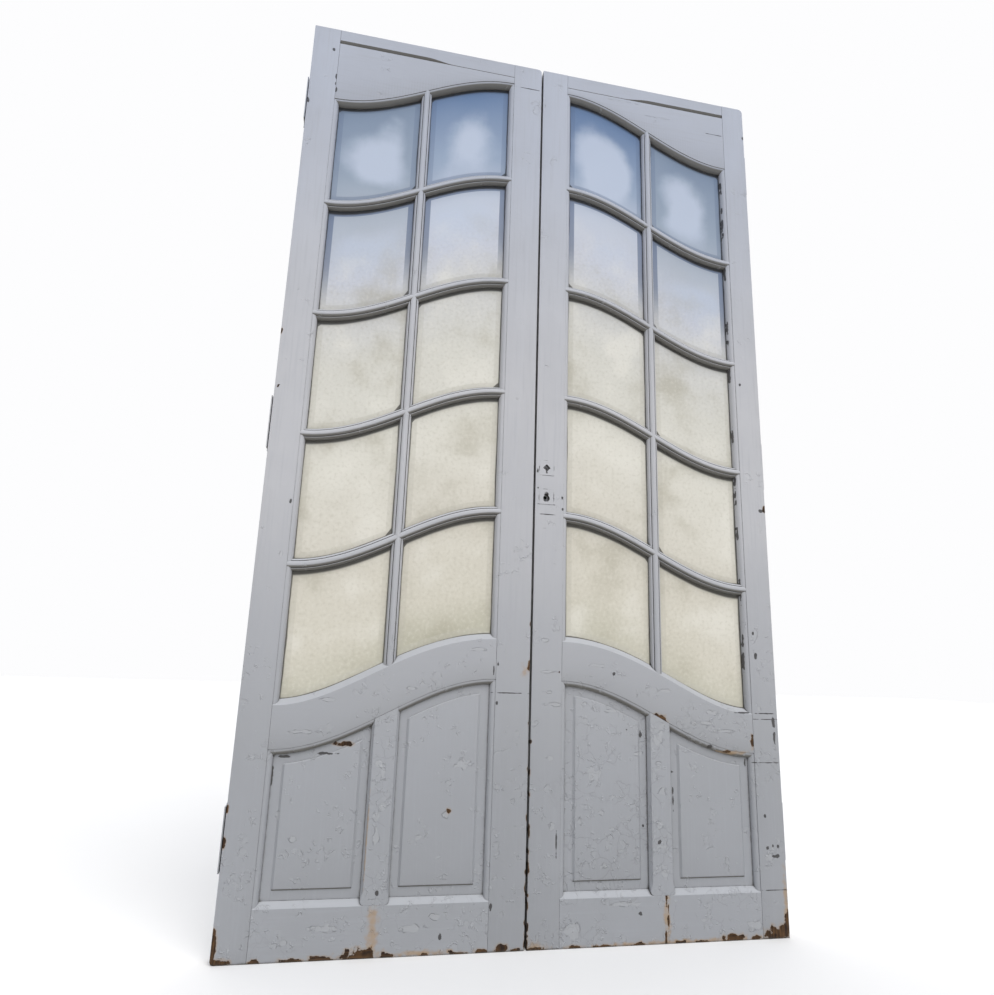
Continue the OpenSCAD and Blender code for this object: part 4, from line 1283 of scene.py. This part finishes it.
        bm = bmesh.new()
        sweep(bm, [a, *spread(a + bevel, b - bevel, 14), b], section)
        self.mitre_corners(bm, edge_y)
        layers = [bm.verts.layers.float.new(name) for name in PANE_NUMBERS]
        for vert in bm.verts:
            u = vert.co.x - plan.hinge_w
            foot, head = plan.beside(u, *low), plan.beside(u, *high)
            share = clamp((vert.co.z - foot) / (head - foot))
            border = clamp(min(u - a, b - u, vert.co.z - foot, head - vert.co.z) / bevel)
            across = (u - (a + b) / 2) / (b - a) * 2
            up_down = share * 2 - 0.8
            values = (
                (row - 1 + share) / self.row_count,
                border,
                # 0.5 for the outer column, whose upper panes get a duller painted sky reflection.
                0.5 if outer else 1.0,
                clamp(1 - (across**4 + up_down**4) ** 0.25),
                # Nearness to the head, which the glass turns into a painted shadow under the bar above.
                clamp(1 - (head - vert.co.z) / bevel),
            )
            for layer, value in zip(layers, values, strict=True):
                vert[layer] = value
        node = plan.node(f"{column.value}_pane_{row}")
        finish_piece(bm, plan, f"{node}_glass", [node], self.glass, crease_deg=2.0)

    def build(self) -> None:
        """Builds every piece of the leaf."""
        self.build_hinge_stile()
        self.build_meeting_stile()
        self.build_top()
        self.build_lock_rail()
        self.build_bottom_rail()
        self.build_muntin()
        for column in Column:
            self.build_panel(column)
        self.build_bars()
        for column in Column:
            for row in range(1, self.row_count + 1):
                self.build_pane(column, row)


# ---- Marks, in each leaf's millimetres ----

LEFT_MARKS = {
    "hinge_stile": [
        Blemish(Mark.BARE_WOOD, 4, 28, 6, 30), Blemish(Mark.BARE_WOOD, 14, 6, 24, 8),
        Blemish(Mark.BARE_WOOD, 2, 66, 5, 12), Blemish(Mark.BARE_WOOD, 1, 245, 4, 12),
        Blemish(Mark.BARE_WOOD, 1, 315, 3, 9), Blemish(Mark.BARE_WOOD, 1, 1500, 3, 8),
        Blemish(Mark.DARK, 2, 2235, 4, 7), Blemish(Mark.DARK, 60, 2425, 3, 5),
        Blemish(Mark.DARK, 70, 1040, 3, 5), Blemish(Mark.UNDERCOAT, 60, 905, 4, 8),
        Blemish(Mark.DARK, 75, 2335, 2, 9), Blemish(Mark.DARK, 75, 2305, 2, 6),
    ],
    "meeting_stile": [
        Blemish(Mark.BARE_WOOD, 645, 6, 14, 9), Blemish(Mark.BARE_WOOD, 680, 2, 9, 5),
        Blemish(Mark.DARK, 618, 101, 4, 9), Blemish(Mark.BARE_WOOD, 701, 656, 6, 15),
        *[Blemish(Mark.BARE_WOOD, 702.5, z, 2.5, h) for z, h in
          ((14, 18), (62, 8), (135, 14), (171, 5), (290, 9), (404, 7), (512, 4), (760, 6))],
        Blemish(Mark.STAIN, 690, 640, 9, 18), Blemish(Mark.DARK, 655, 585, 45, 1.2),
        Blemish(Mark.DARK, 655, 2420, 45, 1.2), Blemish(Mark.DARK, 619, 560, 3, 6),
        Blemish(Mark.DARK, 619, 655, 3, 6),
    ],
    "bottom_rail": [
        Blemish(Mark.BARE_WOOD, 323, 4, 42, 15), Blemish(Mark.STAIN, 346, 60, 13, 52),
        Blemish(Mark.BARE_WOOD, 90, 2, 12, 6), Blemish(Mark.BARE_WOOD, 175, 1, 22, 6),
        Blemish(Mark.BARE_WOOD, 235, 2, 26, 7), Blemish(Mark.BARE_WOOD, 385, 3, 18, 5),
        Blemish(Mark.BARE_WOOD, 470, 1, 12, 5), Blemish(Mark.BARE_WOOD, 545, 1, 20, 6),
        Blemish(Mark.BARE_WOOD, 598, 3, 14, 7), Blemish(Mark.DARK, 501, 38, 4, 5),
        Blemish(Mark.UNDERCOAT, 240, 64, 30, 7), Blemish(Mark.UNDERCOAT, 435, 58, 26, 7),
        Blemish(Mark.UNDERCOAT, 485, 80, 22, 5), Blemish(Mark.UNDERCOAT, 150, 40, 10, 6),
        Blemish(Mark.STAIN, 470, 6, 60, 6),
    ],
    "lock_rail": [
        Blemish(Mark.UNDERCOAT, 150, 486, 26, 4), Blemish(Mark.UNDERCOAT, 200, 560, 18, 4),
        Blemish(Mark.UNDERCOAT, 560, 690, 24, 4), Blemish(Mark.DARK, 608, 640, 2, 16),
        Blemish(Mark.UNDERCOAT, 400, 590, 12, 5), Blemish(Mark.DARK, 150, 435, 30, 4),
    ],
    "panel_muntin": [
        Blemish(Mark.UNDERCOAT, 346, 392, 6, 12), Blemish(Mark.DARK, 350, 134, 4, 5),
        Blemish(Mark.UNDERCOAT, 338, 300, 9, 12), Blemish(Mark.UNDERCOAT, 350, 320, 8, 8),
        Blemish(Mark.UNDERCOAT, 340, 250, 7, 20), Blemish(Mark.UNDERCOAT, 336, 415, 9, 7),
        Blemish(Mark.STAIN, 318, 240, 2, 90),
    ],
    "outer_panel": [
        Blemish(Mark.BARE_WOOD, 250, 458, 20, 5), Blemish(Mark.DARK, 205, 436, 30, 3),
        Blemish(Mark.DARK, 90, 388, 2.5, 36), Blemish(Mark.UNDERCOAT, 150, 250, 10, 6),
        Blemish(Mark.UNDERCOAT, 112, 300, 6, 10), Blemish(Mark.DARK, 110, 428, 26, 2.5),
    ],
    "inner_panel": [
        Blemish(Mark.BARE_WOOD, 512, 306, 6, 8), Blemish(Mark.UNDERCOAT, 505, 298, 8, 8),
        Blemish(Mark.UNDERCOAT, 540, 415, 18, 12), Blemish(Mark.UNDERCOAT, 440, 248, 7, 5),
    ],
    "spandrel": [Blemish(Mark.UNDERCOAT, 205, 2300, 14, 3), Blemish(Mark.DARK, 79, 2290, 3, 10)],
}

# The face plates of the lock, and the half width of the thin dark lines round them: open seams, with painted
# shadow along the plates' edges.
PLATE_HEIGHTS = (1186, 1104)
PLATE_X, PLATE_HALF_W, PLATE_HALF_H = 661, 20, 21
SEAM_HALF = 1.3
PLATE_SEAM_SHADOWS = [
    Blemish(Mark.DARK, PLATE_X + dx, z + dz, half_w, half_h)
    for z in PLATE_HEIGHTS for dx, dz, half_w, half_h in (
        (0, -PLATE_HALF_H, PLATE_HALF_W, SEAM_HALF), (4, PLATE_HALF_H, PLATE_HALF_W / 2, SEAM_HALF),
        (PLATE_HALF_W, -5, SEAM_HALF, PLATE_HALF_H / 2), (-PLATE_HALF_W, 0, SEAM_HALF, PLATE_HALF_H / 2))
]
# Painted shade in the bores behind the plates: a dark mark deep inside, which the plates cover all round.
BORE_SHADE = [Blemish(Mark.DARK, PLATE_X, z, 17, 18, half_d=50) for z in PLATE_HEIGHTS]

RIGHT_MARKS = {
    "hinge_stile": [
        *[Blemish(Mark.DARK, 86, z, 1.5, h) for z, h in
          ((2190, 26), (2105, 14), (2040, 40), (1880, 30), (1690, 22), (1640, 12), (1530, 40), (1340, 32),
           (1210, 26), (1150, 30), (1040, 18), (880, 34), (740, 22), (680, 36))],
        Blemish(Mark.BARE_WOOD, 30, 12, 42, 18), Blemish(Mark.BARE_WOOD, 3, 30, 8, 30),
        Blemish(Mark.DARK, 34, 547, 42, 1.4), Blemish(Mark.DARK, 34, 532, 42, 1.1),
        Blemish(Mark.DARK, 34, 421, 42, 1.2), Blemish(Mark.DARK, 13, 527, 5, 15),
        Blemish(Mark.DARK, 12, 484, 4, 14), Blemish(Mark.DARK, 50, 213, 5, 6),
        Blemish(Mark.DARK, 34, 216, 3, 4), Blemish(Mark.DARK, 20, 214, 3, 4),
        Blemish(Mark.DARK, 28, 192, 9, 4), Blemish(Mark.UNDERCOAT, 46, 190, 12, 8),
        Blemish(Mark.DARK, 52, 290, 4, 5), Blemish(Mark.UNDERCOAT, 55, 560, 5, 9),
        Blemish(Mark.DARK, 55, 700, 4, 7), Blemish(Mark.DARK, 60, 760, 3, 5),
        Blemish(Mark.BARE_WOOD, 2, 1120, 5, 9), Blemish(Mark.DARK, 15, 1112, 6, 4),
        Blemish(Mark.DARK, 60, 1500, 3, 4), Blemish(Mark.DARK, 4, 2390, 5, 8),
        Blemish(Mark.DARK, 37, 112, 40, 1.1), Blemish(Mark.STAIN, 6, 90, 6, 60),
    ],
    "meeting_stile": [
        *[Blemish(Mark.BARE_WOOD, 692.5, z, 3.2, h) for z, h in
          ((12, 20), (49, 9), (98, 15), (118, 6), (176, 19), (214, 6), (262, 11), (345, 5), (396, 8),
           (468, 4))],
        Blemish(Mark.BARE_WOOD, 665, 2, 24, 6), Blemish(Mark.STAIN, 672, 8, 24, 12),
        # The dark marks at x 686 and 684, beside the lock plates, are painted shadows of the plates' edges.
        Blemish(Mark.UNDERCOAT, 640, 430, 9, 6), Blemish(Mark.DARK, 686, 1176, 3, 6),
        *PLATE_SEAM_SHADOWS, *BORE_SHADE,
        Blemish(Mark.DARK, 684, 1128, 3, 4), Blemish(Mark.DARK, 650, 1055, 30, 1.1),
        Blemish(Mark.DARK, 615, 1105, 3, 4), Blemish(Mark.DARK, 614, 1072, 3, 4),
        Blemish(Mark.UNDERCOAT, 650, 640, 20, 3), Blemish(Mark.UNDERCOAT, 655, 720, 12, 4),
        Blemish(Mark.DARK, 622, 230, 2, 30), Blemish(Mark.UNDERCOAT, 630, 270, 8, 8),
        Blemish(Mark.UNDERCOAT, 640, 560, 22, 4), Blemish(Mark.UNDERCOAT, 650, 590, 16, 3),
    ],
    "bottom_rail": [
        *[Blemish(Mark.BARE_WOOD, x, z, 2.3, h) for x, z, h in
          ((335, 98, 12), (330, 76, 16), (331, 50, 16), (338, 20, 20))],
        Blemish(Mark.STAIN, 333, 62, 8, 56), Blemish(Mark.BARE_WOOD, 158, 6, 28, 10),
        Blemish(Mark.BARE_WOOD, 240, 1, 20, 5), Blemish(Mark.BARE_WOOD, 300, 1, 16, 5),
        Blemish(Mark.BARE_WOOD, 410, 1, 22, 5), Blemish(Mark.BARE_WOOD, 500, 1, 26, 5),
        Blemish(Mark.BARE_WOOD, 575, 2, 22, 6), Blemish(Mark.BARE_WOOD, 95, 3, 14, 7),
        Blemish(Mark.DARK, 404, 70, 5, 5), Blemish(Mark.UNDERCOAT, 585, 40, 22, 16),
        Blemish(Mark.UNDERCOAT, 96, 34, 22, 12), Blemish(Mark.UNDERCOAT, 235, 50, 10, 5),
        Blemish(Mark.UNDERCOAT, 440, 92, 34, 5), Blemish(Mark.STAIN, 300, 3, 240, 6),
    ],
    "lock_rail": [
        Blemish(Mark.BARE_WOOD, 344, 534, 14, 8), Blemish(Mark.BARE_WOOD, 332, 526, 10, 7),
        Blemish(Mark.BARE_WOOD, 79, 474, 5, 17), Blemish(Mark.DARK, 200, 461, 8, 5),
        Blemish(Mark.BARE_WOOD, 155, 448, 14, 4), Blemish(Mark.STAIN, 140, 446, 50, 5),
        Blemish(Mark.UNDERCOAT, 190, 548, 22, 5), Blemish(Mark.UNDERCOAT, 210, 520, 34, 4),
        Blemish(Mark.UNDERCOAT, 165, 500, 28, 4), Blemish(Mark.UNDERCOAT, 330, 600, 16, 4),
        Blemish(Mark.DARK, 470, 640, 5, 4), Blemish(Mark.UNDERCOAT, 520, 660, 18, 4),
        Blemish(Mark.DARK, 100, 548, 24, 1.6),
    ],
    "panel_muntin": [
        Blemish(Mark.UNDERCOAT, 346, 478, 14, 18), Blemish(Mark.DARK, 350, 230, 5, 5),
        Blemish(Mark.UNDERCOAT, 340, 350, 10, 8), Blemish(Mark.UNDERCOAT, 346, 270, 12, 8),
        Blemish(Mark.UNDERCOAT, 340, 220, 14, 6), Blemish(Mark.UNDERCOAT, 350, 420, 8, 6),
        Blemish(Mark.UNDERCOAT, 340, 160, 10, 8),
    ],
    "outer_panel": [
        Blemish(Mark.DARK, 304, 330, 2.5, 36), Blemish(Mark.DARK, 305, 395, 6, 3),
        Blemish(Mark.DARK, 94, 418, 2.5, 18), Blemish(Mark.UNDERCOAT, 130, 420, 10, 4),
    ],
    "inner_panel": [
        Blemish(Mark.DARK, 392, 488, 4, 10), Blemish(Mark.DARK, 432, 500, 3, 3),
        Blemish(Mark.UNDERCOAT, 470, 260, 11, 6), Blemish(Mark.UNDERCOAT, 520, 390, 18, 14),
        Blemish(Mark.UNDERCOAT, 480, 330, 12, 8), Blemish(Mark.UNDERCOAT, 400, 440, 14, 5),
        Blemish(Mark.UNDERCOAT, 500, 300, 8, 6), Blemish(Mark.UNDERCOAT, 450, 210, 12, 4),
        Blemish(Mark.UNDERCOAT, 490, 175, 12, 6), Blemish(Mark.DARK, 388, 266, 5, 5),
        Blemish(Mark.UNDERCOAT, 470, 545, 20, 4), Blemish(Mark.UNDERCOAT, 560, 280, 6, 9),
    ],
    "spandrel": [
        Blemish(Mark.DARK, 108, 2380, 32, 1.2), Blemish(Mark.UNDERCOAT, 430, 2442, 50, 1.5),
        Blemish(Mark.UNDERCOAT, 300, 2405, 40, 1.2),
    ],
}

LEFT_WEAR = {"bottom_rail": 1.5, "panel_muntin": 2.0, "inner_panel": 0.8, "outer_panel": 0.9}
RIGHT_WEAR = {"bottom_rail": 1.9, "panel_muntin": 2.2, "inner_panel": 2.2, "outer_panel": 0.8,
              "lock_rail": 1.6, "meeting_stile": 1.4, "hinge_stile": 1.3}


# ---- Fittings ----


class Fitting(Enum):
    """The finishes of the metal fittings, by the record's material slots."""

    HINGE = "hinge_iron"
    SCREW = "screw_steel"
    LOCK = "lock_iron"
    BOLT = "bolt_steel"


@dataclass
class Hardware:
    """The fittings, which keep their CAD shapes and get their finishes here."""

    paint: OilPaint
    plans: dict[Side, LeafPlan]
    metals: dict[Fitting, OldMetal] = field(default_factory=lambda: {
        # Forged hinge iron, painted over with the leaves: the grey coat is matt, with rust through it.
        Fitting.HINGE: OldMetal("painted_over_hinge_iron", "#a3a4a8", "#6b4630", 0.3, 0.0, 0.55),
        # Turned steel screws: grey, with a little rust in the slots.
        Fitting.SCREW: OldMetal("dull_screw_steel", "#8b8883", "#6e5341", 0.3, 0.9, 0.45),
        # Pressed lock iron, oiled once: dark and even.
        Fitting.LOCK: OldMetal("dark_lock_iron", "#3c3a38", "#5c4333", 0.35, 0.8, 0.5),
        # Drawn bolt steel, bright where it slides.
        Fitting.BOLT: OldMetal("worn_bolt_steel", "#9a9892", "#6a5444", 0.2, 0.95, 0.35),
    })
    lever_size: tuple[float, float, float] = (30.0, 2.0, 29.0)
    lever_round: float = 6.0
    lever_drop: float = 2.0
    wear: float = 0.6

    def add_key_lever(self, iron: bpy.types.Material) -> None:
        """Adds the lever inside the lock case, which shuts the keyhole off behind until a key lifts it."""
        plan = self.plans[Side.RIGHT]
        inverse = plan.place().inverted()
        boxes = (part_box(node) for node in ("keyhole_plate", "lock_case"))
        plate, case = (inverse @ ((low + high) / 2) for low, high in boxes)
        middle = Vector((plate.x, case.y, plate.z - self.lever_drop))
        width, depth, height = self.lever_size
        bm = bmesh.new()
        matrix = Matrix.Translation(middle) @ Matrix.Diagonal((width, depth, height, 1))
        bmesh.ops.create_cube(bm, size=1, matrix=matrix)
        corners = [e for e in bm.edges if abs(e.verts[0].co.y - e.verts[1].co.y) > depth / 2]
        bmesh.ops.bevel(bm, geom=corners, offset=self.lever_round, offset_type="OFFSET", affect="EDGES",
                        segments=5, profile=0.5, material=-1)
        finish_piece(bm, plan, "key_lever", [], iron)

    def dress(self) -> None:
        """Gives every CAD node that still shows its finish."""
        slots = {m["slot"]: m for m in frame["record"]["materials"]}
        made = {metal.value: self.metals[metal].material() for metal in Fitting}
        self.add_key_lever(made[Fitting.LOCK.value])
        painted: dict[Side, bpy.types.Material] = {}
        for side, plan in self.plans.items():
            name = f"grey_oil_paint_{side.value}_fittings"
            painted[side] = self.paint.material(name, plan, Grain.UPRIGHT, [], self.wear)
        for name, node in frame["nodes"].items():
            if node.hide_render:
                continue
            slot = next((s for s, m in slots.items() if name in m.get("nodes", [])), None)
            side = Side.LEFT if name.startswith("left") else Side.RIGHT
            material = made.get(slot, painted[side])
            node.data.materials.clear()
            node.data.materials.append(material)
            LOG.info("%s: kept from the frame, in %s", name, material.name)


# ---- Studio ----


@dataclass(frozen=True)
class Studio:
    """Pale floor, soft light and the viewpoint."""

    eye: tuple[float, float, float] = (-0.448, -1.7983, 0.666)
    pitch_deg: float = 13.26
    yaw_deg: float = -11.17
    roll_deg: float = 1.89
    lens_mm: float = 24.93
    sensor_mm: float = 36.0
    floor_m: float = 30.0
    sun_from: tuple[float, float, float] = (0.25, -1.0, 1.35)
    sun_strength: float = 2.2
    sun_spread_deg: float = 50.0

    def camera(self) -> None:
        """Makes the camera and hands it to the scene."""
        pitch, yaw, roll = (math.radians(a) for a in (self.pitch_deg, self.yaw_deg, self.roll_deg))
        ahead = Vector((-math.sin(yaw) * math.cos(pitch), math.cos(yaw) * math.cos(pitch), math.sin(pitch)))
        level = Vector((math.cos(yaw), math.sin(yaw), 0))
        upright = level.cross(ahead)
        right = level * math.cos(roll) + upright * math.sin(roll)
        up = upright * math.cos(roll) - level * math.sin(roll)
        data = bpy.data.cameras.new("viewpoint")
        data.lens = self.lens_mm
        data.sensor_width = self.sensor_mm
        data.sensor_fit = "HORIZONTAL"
        data.clip_start = 0.05
        obj = bpy.data.objects.new("viewpoint", data)
        turn = Matrix((right, up, -ahead)).transposed().to_4x4()
        obj.matrix_world = Matrix.Translation(self.eye) @ turn
        bpy.context.scene.collection.objects.link(obj)
        bpy.context.scene.camera = obj

    def sky(self) -> None:
        """Soft surround: near white behind the doors, and a dim cool dome over the viewer."""
        world = bpy.data.worlds.new("surround")
        world.use_nodes = True
        bpy.context.scene.world = world
        tree = world.node_tree
        way = add(tree, "TexCoord", {}, out="Generated")
        up = add(tree, "MapRange", [add(tree, "SeparateXYZ", [way], out="Z"), 0.0, 0.9], **SOFT)
        dome = add(tree, "Mix", {0: up, 6: "#8f8d88", 7: "#a3adc0"}, **OVER)
        back = add(tree, "MapRange", [add(tree, "SeparateXYZ", [way], out="Y"), -0.1, 0.45], **SOFT)
        both = add(tree, "Mix", {0: back, 6: dome, 7: "#fdfdfe"}, **OVER)
        tree.links.new(both, tree.nodes["Background"].inputs["Color"])

    def floor(self) -> None:
        """Pale plain floor."""
        bm = bmesh.new()
        bmesh.ops.create_grid(bm, x_segments=1, y_segments=1, size=self.floor_m / 2)
        mesh = bpy.data.meshes.new("floor")
        bm.to_mesh(mesh)
        bm.free()
        material, tree, shader, where = new_material("pale_floor_plaster")
        cloudy = add(tree, "TexNoise", {"Vector": where, "Scale": 1.5, "Detail": 4.0})
        pale = add(tree, "Mix", {0: cloudy, 6: "#fbfaf9", 7: "#f7f6f4"}, **OVER)
        tree.links.new(pale, shader.inputs["Base Color"])
        shader.inputs["Roughness"].default_value = 0.8
        mesh.materials.append(material)
        obj = bpy.data.objects.new("floor", mesh)
        bpy.context.scene.collection.objects.link(obj)

    def sun(self) -> None:
        """Hangs a very wide soft lamp, far off, that lights the whole height alike."""
        data = bpy.data.lights.new("skylight", "SUN")
        data.energy = self.sun_strength
        data.angle = math.radians(self.sun_spread_deg)
        data.color = linear("#fffdf9")[:3]
        obj = bpy.data.objects.new("skylight", data)
        obj.rotation_euler = (-Vector(self.sun_from)).to_track_quat("-Z", "Y").to_euler()
        obj.visible_glossy = False
        bpy.context.scene.collection.objects.link(obj)

    def build(self) -> None:
        """Sets the whole studio."""
        bpy.context.scene.view_settings.view_transform = "Standard"
        self.camera()
        self.sky()
        self.floor()
        self.sun()


def main() -> None:
    """Builds the doors and the studio."""
    logging.basicConfig(level=logging.INFO, format="%(name)s: %(message)s")
    paint = OilPaint()
    glass = PlateGlass().material()
    plans = {side: LeafPlan.measure(side) for side in Side}
    leaves = (
        Leaf(plans[Side.LEFT], paint, glass, LEFT_MARKS, LEFT_WEAR, (9, 0, 0, 0), (0, 0, 12, 0)),
        Leaf(plans[Side.RIGHT], paint, glass, RIGHT_MARKS, RIGHT_WEAR, (0, 0, 0, 14), (0, 0, 0, 0)),
    )
    for leaf in leaves:
        leaf.build()
    Hardware(paint, plans).dress()
    Studio().build()


if __name__ == "__main__":
    main()
